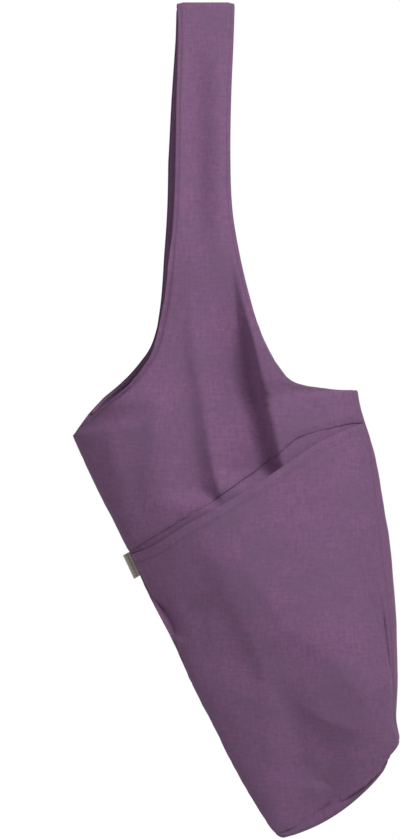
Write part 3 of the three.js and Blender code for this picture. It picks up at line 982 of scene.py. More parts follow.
class NodeBench:
    """Adds nodes to one tree and joins them."""

    def __init__(self, tree: bpy.types.NodeTree, owner: Any = None) -> None:
        """Takes the tree and what it belongs to."""
        self.tree = tree
        self.owner = owner

    @classmethod
    def of_material(cls, name: str) -> "NodeBench":
        """Makes a material and a bench for its tree.

        Args:
            name: Name of the material.

        Returns:
            The bench, whose owner is the material.
        """
        material = bpy.data.materials.new(name)
        material.use_nodes = True
        material.node_tree.nodes.clear()
        return cls(material.node_tree, material)

    def add(self, kind: str, **settings: Any) -> bpy.types.Node:
        """Adds a node and sets its own properties.

        Args:
            kind: Blender's name of the node's type.
            settings: Its properties by name.

        Returns:
            The node.
        """
        node = self.tree.nodes.new(kind)
        for name, value in settings.items():
            setattr(node, name, value)
        return node

    def feed(self, node: bpy.types.Node, values: dict[Any, Any]) -> None:
        """Sets or links inputs of a node.

        Args:
            node: The node.
            values: Values or sockets, by the name or number of the input.
        """
        for name, value in values.items():
            socket = node.inputs[name]
            if isinstance(value, bpy.types.NodeSocket):
                self.tree.links.new(value, socket)
            elif isinstance(value, tuple) and len(value) == 3 and socket.type == "RGBA":
                socket.default_value = (*value, 1.0)
            else:
                socket.default_value = value

    def math(self, operation: str, *values: Any) -> bpy.types.NodeSocket:
        """Adds a Math node.

        Args:
            operation: What it works out.
            values: Values or sockets of its inputs.

        Returns:
            The socket of its result.
        """
        node = self.add("ShaderNodeMath", operation=operation)
        self.feed(node, dict(enumerate(values)))
        return node.outputs[0]

    def mix(self, factor: Any, first: Any, second: Any) -> bpy.types.NodeSocket:
        """Adds a colour Mix node.

        Args:
            factor: Share of the second colour.
            first: The first colour.
            second: The second colour.

        Returns:
            The socket of its result.
        """
        node = self.add("ShaderNodeMix", data_type="RGBA")
        self.feed(node, {0: factor, 6: first, 7: second})
        return node.outputs[2]

    def surface(self, values: dict[str, Any]) -> None:
        """Adds the Principled BSDF and the output.

        Args:
            values: Values or sockets of the shader's inputs, by name.
        """
        shader = self.add("ShaderNodeBsdfPrincipled")
        self.feed(shader, values)
        output = self.add("ShaderNodeOutputMaterial")
        self.tree.links.new(shader.outputs[0], output.inputs["Surface"])


def linen_weave() -> bpy.types.NodeTree:
    """Builds the shared plain weave: its relief, its thick and thin threads and its uneven dye.

    Returns:
        The node group, with Place and Pitch in, and Height, Fleck and Patch out.
    """
    tree = bpy.data.node_groups.new("linen_weave", "ShaderNodeTree")
    for name, kind in (("Place", "NodeSocketVector"), ("Pitch", "NodeSocketFloat")):
        tree.interface.new_socket(name=name, in_out="INPUT", socket_type=kind)
    for name in ("Height", "Fleck", "Patch"):
        tree.interface.new_socket(name=name, in_out="OUTPUT", socket_type="NodeSocketFloat")
    bench = NodeBench(tree)
    source = bench.add("NodeGroupInput")
    threads = bench.add("ShaderNodeVectorMath", operation="DIVIDE")
    pitch = bench.add("ShaderNodeCombineXYZ")
    bench.feed(pitch, {"X": source.outputs["Pitch"], "Y": source.outputs["Pitch"], "Z": 1.0})
    bench.feed(threads, {0: source.outputs["Place"], 1: pitch.outputs[0]})
    split = bench.add("ShaderNodeSeparateXYZ")
    bench.feed(split, {0: threads.outputs[0]})
    u, v = split.outputs["X"], split.outputs["Y"]

    def wave(value: bpy.types.NodeSocket) -> bpy.types.NodeSocket:
        """Sine of half a turn per thread."""
        return bench.math("SINE", bench.math("MULTIPLY", value, math.pi))

    over = bench.math("MULTIPLY", wave(u), wave(v))

    def thread(value: bpy.types.NodeSocket, crossing: float) -> bpy.types.NodeSocket:
        """Relief of the threads of one way, higher by a share where they cross over the others."""
        lifted = bench.math("MULTIPLY_ADD", over, crossing, 0.7)
        return bench.math("MULTIPLY", bench.math("ABSOLUTE", wave(value)), lifted)

    relief = bench.math("MAXIMUM", thread(u, 0.3), thread(v, -0.3))

    def streaks(stretch: tuple[float, float, float], detail: float) -> bpy.types.NodeSocket:
        """Noise drawn out along one way of the cloth.

        Args:
            stretch: Scale of the noise along each axis of the cloth, in threads.
            detail: Octaves of the noise.

        Returns:
            The socket of the noise.
        """
        place = bench.add("ShaderNodeVectorMath", operation="MULTIPLY")
        bench.feed(place, {0: threads.outputs[0], 1: stretch})
        noise = bench.add("ShaderNodeTexNoise")
        bench.feed(noise, {"Vector": place.outputs[0], "Scale": 1.0, "Detail": detail, "Roughness": 0.6})
        return noise.outputs[0]

    slubs = bench.math("ADD", streaks((0.36, 0.07, 1.0), 2.0), streaks((0.07, 0.36, 1.0), 2.0))
    grain = bench.math("ADD", slubs, bench.math("MULTIPLY", streaks((0.27, 0.27, 1.0), 3.0), 1.1))
    fleck = bench.add("ShaderNodeMapRange")
    bench.feed(fleck, {"Value": grain, "From Min": 1.05, "From Max": 2.05})
    uneven = bench.math("ADD", streaks((0.03, 0.014, 1.0), 3.0), streaks((0.012, 0.035, 1.0), 3.0))
    patch = bench.add("ShaderNodeMapRange")
    bench.feed(patch, {"Value": uneven, "From Min": 0.85, "From Max": 1.25, "To Max": 0.7})
    output = bench.add("NodeGroupOutput")
    height = bench.math("ADD", relief, bench.math("MULTIPLY", slubs, 0.8))
    bench.feed(output, {"Height": height, "Fleck": fleck.outputs[0], "Patch": patch.outputs[0]})
    return tree


class Wardrobe:
    """The finishes of the bag, each made once."""

    def __init__(self) -> None:
        """Makes every finish."""
        weave = linen_weave()
        self.cloth = LinenFinish(
            "plum_linen",
            light=(0.3, 0.145, 0.287),
            shade=(0.2, 0.096, 0.192),
            cool=(0.205, 0.118, 0.212),
            worn_and_shaded=(0.16, 0.088, 0.158),
        ).material(weave)
        # A lighter copy of the cloth for the turned hems: painted light that lifts the shade the inner faces
        # lie in.
        self.inside = LinenFinish(
            "plum_linen_inside_painted_light",
            light=(0.36, 0.18, 0.345),
            shade=(0.26, 0.127, 0.25),
            cool=(0.26, 0.15, 0.27),
            worn_and_shaded=(0.2, 0.105, 0.195),
        ).material(weave)
        self.tape = TapeFinish().material()
        self.thread = ThreadFinish().material()


class Stitcher:
    """Lays stitches along lines of points with one shared geometry tree."""

    length_share: float = 0.78
    thickness: float = 0.55 * MM
    shortest: float = 0.88
    longest: float = 1.08

    def __init__(self, thread: bpy.types.Material) -> None:
        """Takes the thread's material and builds the shared tree."""
        self.thread = thread
        self.tree = self.build_tree()

    def build_tree(self) -> bpy.types.NodeTree:
        """Builds the geometry tree that sets one stitch after another along an edge line.

        Returns:
            The tree, with the line, the stitches' sizes, their seed and their thread as inputs.
        """
        tree = bpy.data.node_groups.new("stitch_line", "GeometryNodeTree")
        tree.interface.new_socket(name="Line", in_out="INPUT", socket_type="NodeSocketGeometry")
        for name in ("Pitch", "Length", "Thickness"):
            tree.interface.new_socket(name=name, in_out="INPUT", socket_type="NodeSocketFloat")
        tree.interface.new_socket(name="Seed", in_out="INPUT", socket_type="NodeSocketInt")
        tree.interface.new_socket(name="Thread", in_out="INPUT", socket_type="NodeSocketMaterial")
        tree.interface.new_socket(name="Stitches", in_out="OUTPUT", socket_type="NodeSocketGeometry")
        bench = NodeBench(tree)
        source = bench.add("NodeGroupInput")
        curve = bench.add("GeometryNodeMeshToCurve")
        bench.feed(curve, {0: source.outputs["Line"]})
        points = bench.add("GeometryNodeCurveToPoints", mode="LENGTH")
        bench.feed(points, {"Curve": curve.outputs[0], "Length": source.outputs["Pitch"]})
        turn = bench.add("FunctionNodeAlignRotationToVector", axis="Z")
        bench.feed(turn, {"Vector": points.outputs["Tangent"]})
        ball = bench.add("GeometryNodeMeshUVSphere")
        bench.feed(ball, {"Segments": 8, "Rings": 5, "Radius": 1.0})
        half = bench.math("MULTIPLY", source.outputs["Length"], 0.5)
        spread = bench.add("FunctionNodeRandomValue", data_type="FLOAT")
        bench.feed(spread, {2: self.shortest, 3: self.longest, "Seed": source.outputs["Seed"]})
        long_half = bench.math("MULTIPLY", half, spread.outputs[1])
        scale = bench.add("ShaderNodeCombineXYZ")
        thickness = bench.math("MULTIPLY", source.outputs["Thickness"], 0.5)
        bench.feed(scale, {"X": thickness, "Y": thickness, "Z": long_half})
        instances = bench.add("GeometryNodeInstanceOnPoints")
        bench.feed(
            instances,
            {
                "Points": points.outputs["Points"],
                "Instance": ball.outputs["Mesh"],
                "Rotation": turn.outputs[0],
                "Scale": scale.outputs[0],
            },
        )
        real = bench.add("GeometryNodeRealizeInstances")
        bench.feed(real, {0: instances.outputs[0]})
        smooth = bench.add("GeometryNodeSetShadeSmooth")
        bench.feed(smooth, {0: real.outputs[0]})
        coloured = bench.add("GeometryNodeSetMaterial")
        bench.feed(coloured, {"Geometry": smooth.outputs[0], "Material": source.outputs["Thread"]})
        output = bench.add("NodeGroupOutput")
        bench.feed(output, {0: coloured.outputs[0]})
        return tree

    def sew(
        self, name: str, lines: Sequence[np.ndarray], seed: int, pitch: float = 3.4 * MM
    ) -> bpy.types.Object:
        """Sews one row of stitches along each line.

        Args:
            name: Name of the piece.
            lines: Lines of points on the cloth's face.
            seed: Seed of the stitches' uneven length.
            pitch: Distance from one stitch to the next.

        Returns:
            The stitches as one plain mesh.
        """
        vertices = np.concatenate(lines)
        edges: list[tuple[int, int]] = []
        start = 0
        for line in lines:
            edges += [(start + step, start + step + 1) for step in range(len(line) - 1)]
            start += len(line)
        mesh = bpy.data.meshes.new(name + "_line")
        mesh.from_pydata(vertices.tolist(), edges, [])
        holder = bpy.data.objects.new(name + "_line", mesh)
        bpy.context.collection.objects.link(holder)
        modifier = holder.modifiers.new("stitches", "NODES")
        modifier.node_group = self.tree
        values = {
            "Pitch": pitch,
            "Length": self.length_share * pitch,
            "Thickness": self.thickness,
            "Seed": seed,
            "Thread": self.thread,
        }
        for item in self.tree.interface.items_tree:
            if item.item_type == "SOCKET" and item.name in values:
                modifier[item.identifier] = values[item.name]
        holder.update_tag()
        depsgraph = bpy.context.evaluated_depsgraph_get()
        sewn = bpy.data.meshes.new_from_object(holder.evaluated_get(depsgraph), depsgraph=depsgraph)
        holder.modifiers.clear()
        bpy.data.objects.remove(holder)
        sewn.name = name
        piece = bpy.data.objects.new(name, sewn)
        bpy.context.collection.objects.link(piece)
        return piece


@dataclass
class Bench:
    """What every sub-assembly is made with."""

    skin: Skin
    sewing: Sewing
    wardrobe: Wardrobe
    stitcher: Stitcher

    def finish(
        self, piece: bpy.types.Object, material: bpy.types.Material, shelf: Shelf, nodes: Sequence[str] = ()
    ) -> None:
        """Dresses a piece and fixes it to the bag.

        Args:
            piece: The piece.
            material: Its material.
            shelf: The material slot meant for the piece; not used.
            nodes: The solids that it stands for.
        """
        if not piece.data.materials:
            piece.data.materials.append(material)
        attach(piece, "root")
        if nodes:
            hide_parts(*nodes)
        log.info("%s: %d faces", piece.name, len(piece.data.polygons))

    def declare(
        self,
        piece: bpy.types.Object,
        flat: tuple[float, float],
        area: float,
        held: str = "hung",
        with_pieces: Sequence[bpy.types.Object] = (),
    ) -> None:
        """Takes the flat size that a sheet of cloth was cut to, and what is sewn to it, and does nothing
        with them.

        Args:
            piece: The sheet; not used.
            flat: Width and length of the cut; not used.
            area: Area of the cut; not used.
            held: How the sheet is held; not used.
            with_pieces: The separate pieces on it; not used.
        """


@dataclass
class FrontYoke:
    """The front from the strap's fold down to the slanted seam, with the strap's front half."""

    bench: Bench
    spacing: float = 2.6 * MM
    columns: int = 104
    seam_start: float = 0.3
    seam_rows: int = 12
    fold_steps: int = 14
    fold_height: float = 1.12
    fold_line: float = 1.5 * MM
    hem_room: float = 12 * MM
    edge_share: float = 0.25
    ripples: tuple[Ripple, ...] = (Ripple(46 * MM, 1.3 * MM, 5, 2.2), Ripple(19 * MM, 0.35 * MM, 8, 1.8))
    grid: ClothGrid | None = None

    def lay(self) -> ClothGrid:
        """Lays the cloth: over the fold, down the strap and across the yoke.

        Returns:
            The cloth.
        """
        skin, sewing, end = self.bench.skin, self.bench.sewing, self.bench.skin.sizes.yoke_end
        lower = skin.even_rows(Face.FRONT, 0.0, end - self.seam_start, self.spacing)
        near_seam = np.linspace(end - self.seam_start, end, self.seam_rows)[1:]
        grid = skin.grid(Face.FRONT, np.concatenate((lower, near_seam)), self.columns)
        skin.press(grid, YOKE_CREASES)
        hanging = grid.hanging()
        room = self.edge_share + (1.0 - self.edge_share) * smoothstep(grid.edge(), 0.0, self.hem_room)
        grid.lift(grid.uneven(self.ripples) * hanging * room)
        down = grid.down()
        gathers = sewing.pucker(down, grid.edge(), 11, 0.35 * MM)
        fold_line = -0.45 * MM * bell(down, self.fold_line, 1.0 * MM)
        seam_away = down[-1:] - down
        seam = sewing.pucker(grid.along(), seam_away, 23, 0.6 * MM)
        seam = seam - 0.35 * MM * bell(seam_away, 0.0, 2.5 * MM)
        grid.lift(sewing.hems(grid) + gathers * hanging + seam + fold_line)
        return self.over_fold(grid)

    def over_fold(self, grid: ClothGrid) -> ClothGrid:
        """Adds the rows that carry the front's cloth over the hanging fold to the seam behind it.

        Args:
            grid: The cloth below the fold.

        Returns:
            The cloth with those rows above it.
        """
        size = self.bench.skin.sizes
        front = grid.points[0]
        radius = np.abs(front[:, 1])
        shift = size.strap_shift * EDGES.columns["shift"][0]
        rows, flats = [], []
        for angle in np.linspace(math.pi, 0.0, self.fold_steps + 1)[:-1]:
            swing = (1 + math.cos(angle)) / 2
            x = front[:, 0] - shift * (1 - swing)
            z = front[:, 2] + self.fold_height * radius * math.sin(angle)
            rows.append(np.stack((x, -radius * math.cos(angle), z), axis=-1))
            flats.append(grid.flat[0] + np.array((0.0, 1.0)) * size.fold_radius * angle)
        return grid.rows_like(0, np.array(rows), np.array(flats)).joined(grid)

    def build(self) -> None:
        """Makes the yoke and its stitches."""
        bench = self.bench
        self.grid = self.lay()
        left, right = (bench.sewing.wear_and_painted_shade(side) for side in (self.grid.from_left, self.grid.from_right))
        worn_and_shaded = 0.55 * left + 0.2 * right
        piece = bench.sewing.mesh("yoke_and_front_strap", self.grid, bench.skin.sizes.cloth, worn_and_shaded)
        bench.finish(piece, bench.wardrobe.cloth, Shelf.CLOTH, ("front_yoke_and_strap",))
        sewn = TurnedHems(bench, "front", self.grid).build()
        bench.declare(piece, (0.34, 0.6), self.grid.area(), with_pieces=sewn)


@dataclass
class LowerFront:
    """The front behind the pocket, lapped behind the yoke at the slanted seam."""

    bench: Bench
    spacing: float = 4.0 * MM
    columns: int = 84
    lap_rows: int = 14
    lap_depth: float = 0.6
    seam_room: float = 0.3

    def build(self) -> None:
        """Makes the panel."""
        bench, skin, size = self.bench, self.bench.skin, self.bench.skin.sizes
        lap_end = size.yoke_end + self.lap_depth
        lap = np.linspace(size.lap_start, lap_end, self.lap_rows)
        rest = skin.even_rows(Face.FRONT, lap_end, size.bottom_seam - self.seam_room, self.spacing)[1:]
        grid = skin.grid(Face.FRONT, np.concatenate((lap, rest)), self.columns)
        skin.press(grid, (DEEP_FOLD, SECOND_FOLD, *POCKET_CREASES))
        grid.lift(-size.cloth - size.layer_gap)
        piece = bench.sewing.mesh("front_behind_pocket", grid, size.cloth)
        bench.finish(piece, bench.wardrobe.cloth, Shelf.CLOTH, ("front_lower_panel",))
        bench.declare(piece, (0.34, 0.38), grid.area())


@dataclass
class Pocket:
    """The large patch pocket over the lower front, sewn into the side and bottom seams."""

    bench: Bench
    spacing: float = 2.4 * MM
    columns: int = 124
    start: float = 0.03
    top_rows: tuple[float, ...] = (0, 0.02, 0.04, 0.06, 0.08, 0.1, 0.12, 0.15, 0.19, 0.23, 0.27)
    stand_power: float = 0.7
    edge_room: float = 16 * MM
    clearance: float = 0.4 * MM
    turn_room: float = 14 * MM
    turn_step: float = 1.3 * MM
    hem_line: float = 10 * MM
    ripples: tuple[Ripple, ...] = (Ripple(60 * MM, 2.2 * MM, 31, 1.3), Ripple(25 * MM, 0.75 * MM, 35))
    grid: ClothGrid | None = None

    def lay(self) -> ClothGrid:
        """Lays the pocket's cloth, which stands off the front along its top edge.

        Returns:
            The cloth.
        """
        sewing, skin, size = self.bench.sewing, self.bench.skin, self.bench.skin.sizes
        top = size.yoke_end + self.start + np.array(self.top_rows)
        rest = skin.even_rows(Face.POCKET, top[-1], size.bottom_seam, self.spacing)[1:]
        grid = skin.grid(Face.POCKET, np.concatenate((top, rest)), self.columns)
        skin.press(grid, POCKET_CREASES)
        share = grid.from_left / (grid.from_left + grid.from_right)
        fall = 1.0 - smoothstep(grid.at, size.yoke_end, size.bottom)[:, None]
        stand = size.pocket_stand * np.sin(math.pi * share) ** self.stand_power * fall
        edge = grid.edge()
        room = smoothstep(edge, 0.0, self.edge_room)
        grid.lift(stand + (grid.uneven(self.ripples) + self.clearance) * room)
        down, along = grid.down(), grid.along()
        bottom_away = down[-1:] - down
        hem = 0.6 * sewing.hem_relief(down * 0.35)
        seam = sewing.pucker(along, bottom_away, 43, 0.7 * MM)
        wavy = 1.0 + 0.6 * Ripple(24 * MM, 1.0, 53).rise(along, bottom_away)
        lip = 1.8 * MM * wavy * bell(bottom_away, 0.0, 5 * MM) * smoothstep(share, 0.02, 0.3)
        sides = sewing.pucker(down, edge, 47, 0.5 * MM) - 0.9 * MM * bell(edge, 0.0, 2.5 * MM)
        grid.lift(hem + seam + lip + sides)
        return self.turn_in(grid)

    def turn_in(self, grid: ClothGrid) -> ClothGrid:
        """Adds the rows that turn the pocket's lower edge in to the bottom seam.

        Args:
            grid: The pocket's cloth.

        Returns:
            The cloth with those rows below it.
        """
        last, normal = grid.points[-1], grid.normals()[-1]
        along = unit(last - grid.points[-2])
        steps = ((0.7, 0.7), (1.9, 1.1), (3.2, 1.1), (4.4, 0.9))
        room = smoothstep(grid.edge()[-1:].T, 0.0, self.turn_room)
        rows, flats = [], []
        for number, (inwards, down) in enumerate(steps, start=1):
            rows.append(last + (along * down * room - normal * inwards * (0.3 + 0.7 * room)) * MM)
            flats.append(grid.flat[-1] - np.array((0.0, self.turn_step)) * number)
        return grid.joined(grid.rows_like(-1, np.array(rows), np.array(flats)))

    def build(self) -> None:
        """Makes the pocket."""
        bench = self.bench
        self.grid = self.lay()
        worn_and_shaded = 0.35 * bell(self.grid.down(), self.hem_line, 1.2 * MM)
        piece = bench.sewing.mesh("front_pocket", self.grid, bench.skin.sizes.cloth, worn_and_shaded)
        bench.finish(piece, bench.wardrobe.cloth, Shelf.CLOTH, ("pocket_panel",))
        bench.declare(piece, (0.34, 0.38), self.grid.area())


@dataclass
class BackPanel:
    """The back from the strap's fold down, which turns under the bottom to the seam in front."""

    bench: Bench
    spacing: float = 2.8 * MM
    columns: int = 92
    edge_room: float = 16 * MM
    still_from: float = 25.0
    fold_tuck: float = 0.15
    end_room: float = 0.02
    under_rows: int = 12
    under_end: float = 0.05
    under_room: float = 14 * MM
    # Extra darkening of the band turned under the bottom: painted shade.
    under_painted_shade: float = 0.3
    under_length: float = 6 * MM
    ripples: tuple[Ripple, ...] = (Ripple(54 * MM, 1.8 * MM, 61, 1.7), Ripple(22 * MM, 0.4 * MM, 67))
    grid: ClothGrid | None = None

    def lay(self) -> ClothGrid:
        """Lays the back's cloth and turns it under the bottom.

        Returns:
            The cloth.
        """
        skin, sewing = self.bench.skin, self.bench.sewing
        rows = skin.even_rows(Face.BACK, 0.0, skin.sizes.bottom - self.end_room, self.spacing)
        grid = skin.grid(Face.BACK, rows, self.columns)
        skin.press(grid, BACK_CREASES)
        hanging, edge = grid.hanging(), grid.edge()
        room = smoothstep(edge, 0.0, self.edge_room)
        above = (grid.at < self.still_from)[:, None]
        sewn = (1.0 - sewing.hemmed(grid)) * 0.9 * MM * bell(edge, 0.0, 2.5 * MM)
        gathers = sewing.pucker(grid.down(), edge, 71, 0.4 * MM)
        soft = grid.uneven(self.ripples) * hanging * room * above
        grid.lift(soft + sewing.hems(grid) + gathers * hanging - sewn)
        grid.points[0] += (grid.points[1] - grid.points[0]) * self.fold_tuck
        return self.turn_under(grid)

    def turn_under(self, grid: ClothGrid) -> ClothGrid:
        """Adds the rows that carry the back's cloth under the bottom to its seam with the pocket.

        Args:
            grid: The back's cloth.

        Returns:
            The cloth with those rows below it.
        """
        skin, size, count = self.bench.skin, self.bench.skin.sizes, self.under_rows
        sections = np.linspace(size.bottom, size.bottom_seam - self.under_end, count)
        under = skin.grid(Face.FRONT, sections, self.columns)
        inwards = np.linspace(0.0, 1.0, count)
        share, along = inwards[:, None, None], under.along()
        wavy = 1.0 + 0.3 * Ripple(26 * MM, 1.0, 83).rise(along, 0.0 * along)[..., None]
        tuck = 4.0 * MM * smoothstep(share, 0.6, 0.95) - 1.9 * MM * wavy * np.sin(math.pi * share) ** 2
        room = smoothstep(under.edge(), 0.0, self.under_room)[..., None]
        reach = grid.down()[-1:] + inwards[:, None] * self.under_length
        flat_x = np.repeat(grid.flat[-1:, :, 0], count, axis=0)
        under.flat = np.stack((flat_x, grid.flat[-1, :, 1] - reach + reach[:1]), axis=-1)
        under.points = under.points + under.normals() * tuck * room
        under.at = np.full(count, size.bottom)
        return grid.joined(under)

    def build(self) -> None:
        """Makes the back."""
        bench = self.bench
        self.grid = self.lay()
        worn_and_shaded = 0.5 * bench.sewing.wear_and_painted_shade(self.grid.edge())
        # Painted shade: the band turned under the bottom is coloured darker for the shade it hangs in.
        worn_and_shaded[-self.under_rows :] += self.under_painted_shade
        piece = bench.sewing.mesh("back_and_rear_strap", self.grid, bench.skin.sizes.cloth, worn_and_shaded)
        bench.finish(piece, bench.wardrobe.cloth, Shelf.CLOTH, ("back_panel_and_strap",))
        sewn = TurnedHems(bench, "back", self.grid).build()
        bench.declare(piece, (0.34, 0.92), self.grid.area(), with_pieces=sewn)


@dataclass
class TurnedHems:
    """The cloth turned in along the strap and the mouth of one panel, and the stitches that hold it."""

    bench: Bench
    face: str
    panel: ClothGrid
    thickness: float = 1.0 * MM
    stitch_column: int = 5
    inset_columns: int = 2
    hem_columns: int = 10

    def strip(self, edge: Edge) -> bpy.types.Object:
        """Makes the hem along one edge of the panel.

        Args:
            edge: The edge.

        Returns:
            The hem.
        """
        bench, size = self.bench, self.bench.skin.sizes
        at = self.panel.at
        rows = slice(int(np.argmax(at > 0)), int(np.searchsorted(at, size.hem_end)))
        inset, width = self.inset_columns, self.hem_columns
        columns = slice(inset, width) if edge is Edge.LEFT else slice(-width, -inset)
        strip = self.panel.part(rows, columns)
        drop = size.cloth / 2 + self.thickness / 2 + size.layer_gap / 2
        strip.points = strip.points - self.panel.normals()[rows, columns] * drop
        name = f"{self.face}_{edge.value}_hem"
        piece = bench.sewing.mesh(name + "_turned", strip, self.thickness)
        # The hems take the lighter inside copy of the cloth, painted light.
        bench.finish(piece, bench.wardrobe.inside, Shelf.CLOTH, (name,))
        return piece

    def stitches(self) -> bpy.types.Object:
        """Sews the stitches along both edges of the panel, down to the mouth's corners.

        Returns:
            The stitches as one piece.
        """
        size, at = self.bench.skin.sizes, self.panel.at
        rows = slice(int(np.argmax(at > 0)) + 2, int(np.searchsorted(at, size.mouth_corner)))
        face = self.bench.sewing.face(self.panel)
        lines = [face[rows, self.stitch_column], face[rows, -1 - self.stitch_column]]
        piece = self.bench.stitcher.sew(f"{self.face}_hem_stitches", lines, 3)
        self.bench.finish(piece, self.bench.wardrobe.thread, Shelf.CLOTH)
        return piece

    def build(self) -> list[bpy.types.Object]:
        """Makes the two hems and their stitches."""
        return [*(self.strip(edge) for edge in Edge), self.stitches()]


@dataclass
class SeamStitches:
    """Stitches of the yoke's lower seam and of the pocket's top hem."""

    bench: Bench
    yoke: ClothGrid
    pocket: ClothGrid

    def across(self, panel: ClothGrid, rows_in: int) -> np.ndarray:
        """Line of stitches across a panel's face.

        Args:
            panel: The panel.
            rows_in: Rows in from its lower end, or from its upper end where that is negative.

        Returns:
            Points of the line.
        """
        face = self.bench.sewing.face(panel)
        return face[-1 - rows_in, 2:-2] if rows_in >= 0 else face[-rows_in, 2:-2]

    def build(self) -> None:
        """Sews both lines."""
        seam = self.bench.stitcher.sew("yoke_seam_stitches", [self.across(self.yoke, 2)], 13)
        self.bench.finish(seam, self.bench.wardrobe.thread, Shelf.CLOTH)
        hem = self.bench.stitcher.sew("pocket_hem_stitches", [self.across(self.pocket, -8)], 14)
        self.bench.finish(hem, self.bench.wardrobe.thread, Shelf.CLOTH)


@dataclass
class SideLabel:
    """Small folded tape sewn into the left side seam beside the pocket's top corner."""

    bench: Bench
    length: float = 27 * MM
    reach: float = 7.6 * MM
    drop: float = 2.0 * MM
    tape: float = 0.45 * MM
    apart: float = 0.5 * MM
    start: float = 0.6 * MM
    curl: float = 0.8 * MM
    slant: float = 1.12
    cut_share: float = 1.03
    rows: int = 24
    straight_steps: int = 8
    turn_steps: int = 6

    def profile(self) -> np.ndarray:
        """The tape's middle line in section: out on the front, round the fold and back behind.

        Returns:
            Rows of how far it reaches out and how far behind the seam it is.
        """
        radius = (self.tape + self.apart) / 2
        straight = np.linspace(self.start, self.reach - radius, self.straight_steps)
        front = np.stack((straight, np.full(self.straight_steps, -radius)), axis=-1)
        angles = np.linspace(-math.pi / 2, math.pi / 2, self.turn_steps + 1)[1:-1]
        bend = np.stack((self.reach - radius + radius * np.cos(angles), radius * np.sin(angles)), axis=-1)
        return np.concatenate((front, bend, front[::-1] * np.array((1.0, -1.0))))

    def build(self) -> None:
        """Makes the folded tape."""
        bench, skin, size = self.bench, self.bench.skin, self.bench.skin.sizes
        upper, lower = OUTLINE.smooth("left_down", np.array((size.yoke_end, size.yoke_end + 1)))
        step = (lower - upper) * size.drop * self.slant
        at = size.yoke_end + (self.drop + np.linspace(0.0, self.length, self.rows)) / step
        left, right = skin.ends(at, False)
        outward = unit(left - right)
        line = self.profile()
        curl = self.curl * np.sin(np.linspace(0.0, math.pi, self.rows)) ** 2
        x = left[:, :1] + outward[:, :1] * line[:, 0]
        z = left[:, 1:] + outward[:, 1:] * line[:, 0]
        y = np.repeat(line[None, :, 1], self.rows, axis=0) - curl[:, None] * line[:, 0] / self.reach
        points = np.stack((x, y, z), axis=-1)
        steps = np.linalg.norm(np.diff(line, axis=0), axis=-1)
        reached = np.concatenate(([0.0], np.cumsum(steps)))
        lengthwise = np.linspace(0.0, 1.0, self.rows)[:, None]
        flat = np.stack(np.broadcast_arrays(lengthwise, reached / reached[-1]), axis=-1)
        across = np.repeat(reached[None], self.rows, axis=0)
        grid = ClothGrid(at, points, flat, across, reached[-1] - across, -1.0)
        piece = bench.sewing.mesh("woven_side_label", grid, self.tape)
        piece.data.uv_layers["cloth"].name = "tape"
        folded = piece.data.uv_layers["tape"].data
        corners = np.empty(2 * len(folded), dtype=np.float32)
        folded.foreach_get("uv", corners)
        corners = corners.reshape(-1, 2)
        corners[:, 1] = 1.0 - np.abs(corners[:, 1] * 2.0 - 1.0)
        folded.foreach_set("uv", corners.ravel())
        bench.finish(piece, bench.wardrobe.tape, Shelf.LABEL, ("side_label",))
        bench.declare(piece, (float(reached[-1]), self.length * self.cut_share), grid.area(), "folded")


@dataclass(frozen=True)
class Lamp:
    """A soft square lamp that faces the bag."""

    name: str
    place: tuple[float, float, float]
    size: float
    power: float
    aim: tuple[float, float, float] = (0.02, 0.0, -0.45)

    def build(self) -> None:
        """Hangs the lamp."""
        data = bpy.data.lights.new(self.name, "AREA")
        data.size = self.size
        data.energy = self.power
        lamp = bpy.data.objects.new(self.name, data)
        lamp.location = self.place
        ray = Vector(self.aim) - Vector(self.place)
        lamp.rotation_euler = ray.to_track_quat("-Z", "Y").to_euler()
        lamp.visible_camera = False
        bpy.context.collection.objects.link(lamp)


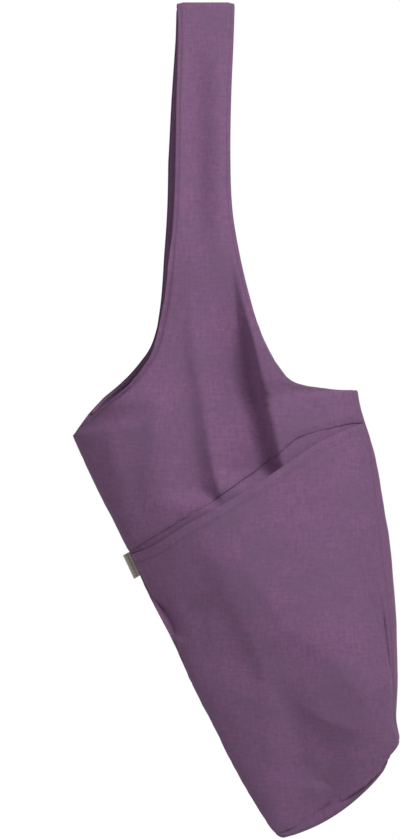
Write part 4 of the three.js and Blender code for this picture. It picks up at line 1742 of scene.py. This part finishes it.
@dataclass
class Studio:
    """A plain pale studio: floor, soft lights and the camera."""

    scale: float = 1.03 * MM
    picture: tuple[int, int] = (400, 839)
    hang_pixel: tuple[float, float] = (206.0, 4.0)
    lens: float = 180.0
    sensor: float = 36.0
    floor_height: float = -2.1
    floor_radius: float = 2.6
    floor_sides: int = 96
    ambient: float = 0.27
    lamps: tuple[Lamp, ...] = (
        Lamp("key", (0.92, -1.65, 0.98), 0.9, 33.0),
        Lamp("fill", (-2.2, -2.2, 0.3), 1.8, 6.0),
        Lamp("rear", (0.6, 2.6, 1.0), 1.8, 60.0),
    )

    def floor(self) -> None:
        """Lays the floor, a wide pale disc."""
        mesh = bpy.data.meshes.new("floor")
        turns = np.linspace(0, 2 * math.pi, self.floor_sides + 1)[:-1]
        radius, height = self.floor_radius, self.floor_height
        ring = [(radius * math.cos(turn), radius * math.sin(turn), height) for turn in turns]
        mesh.from_pydata(ring, [], [tuple(range(self.floor_sides))])
        thing = bpy.data.objects.new("floor", mesh)
        bench = NodeBench.of_material("pale_floor")
        noise = bench.add("ShaderNodeTexNoise")
        bench.feed(noise, {"Vector": bench.add("ShaderNodeTexCoord").outputs["Object"], "Scale": 3.0})
        colour = bench.mix(noise.outputs[0], (0.84, 0.84, 0.84), (0.88, 0.88, 0.88))
        bench.surface({"Base Color": colour, "Roughness": 0.9})
        mesh.materials.append(bench.owner)
        bpy.context.collection.objects.link(thing)

    def world(self) -> None:
        """Sets a white surround that lights the bag softly."""
        world = bpy.data.worlds.new("studio")
        world.use_nodes = True
        world.node_tree.nodes.clear()
        bench = NodeBench(world.node_tree)
        seen = bench.add("ShaderNodeBackground")
        bench.feed(seen, {"Color": (1.0, 1.0, 1.0, 1.0), "Strength": 1.0})
        light = bench.add("ShaderNodeBackground")
        bench.feed(light, {"Color": (0.97, 0.98, 1.0, 1.0), "Strength": self.ambient})
        mix = bench.add("ShaderNodeMixShader")
        ray = bench.add("ShaderNodeLightPath").outputs["Is Camera Ray"]
        bench.feed(mix, {0: ray, 1: light.outputs[0], 2: seen.outputs[0]})
        output = bench.add("ShaderNodeOutputWorld")
        bench.feed(output, {0: mix.outputs[0]})
        bpy.context.scene.world = world
        bpy.context.scene.view_settings.view_transform = "Standard"

    def camera(self) -> None:
        """Sets the camera straight in front, framed as the photograph is."""
        data = bpy.data.cameras.new("camera")
        data.lens = self.lens
        data.sensor_width = self.sensor
        camera = bpy.data.objects.new("camera", data)
        width, height = self.picture
        distance = height * self.scale * self.lens / self.sensor
        x = (width / 2 - self.hang_pixel[0]) * self.scale
        z = -(height / 2 - self.hang_pixel[1]) * self.scale
        camera.location = (x, -distance, z)
        camera.rotation_euler = (math.pi / 2, 0.0, 0.0)
        bpy.context.collection.objects.link(camera)
        bpy.context.scene.camera = camera

    def build(self) -> None:
        """Sets up the whole studio."""
        self.camera()
        self.floor()
        self.world()
        for lamp in self.lamps:
            lamp.build()


def main() -> None:
    """Builds the bag and its studio."""
    sizes = BagSizes()
    wardrobe = Wardrobe()
    bench = Bench(Skin(sizes), Sewing(sizes), wardrobe, Stitcher(wardrobe.thread))
    Studio().build()
    yoke, pocket, back = FrontYoke(bench), Pocket(bench), BackPanel(bench)
    yoke.build()
    LowerFront(bench).build()
    pocket.build()
    back.build()
    SeamStitches(bench, yoke.grid, pocket.grid).build()
    SideLabel(bench).build()
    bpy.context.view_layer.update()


if __name__ == "__main__":
    main()
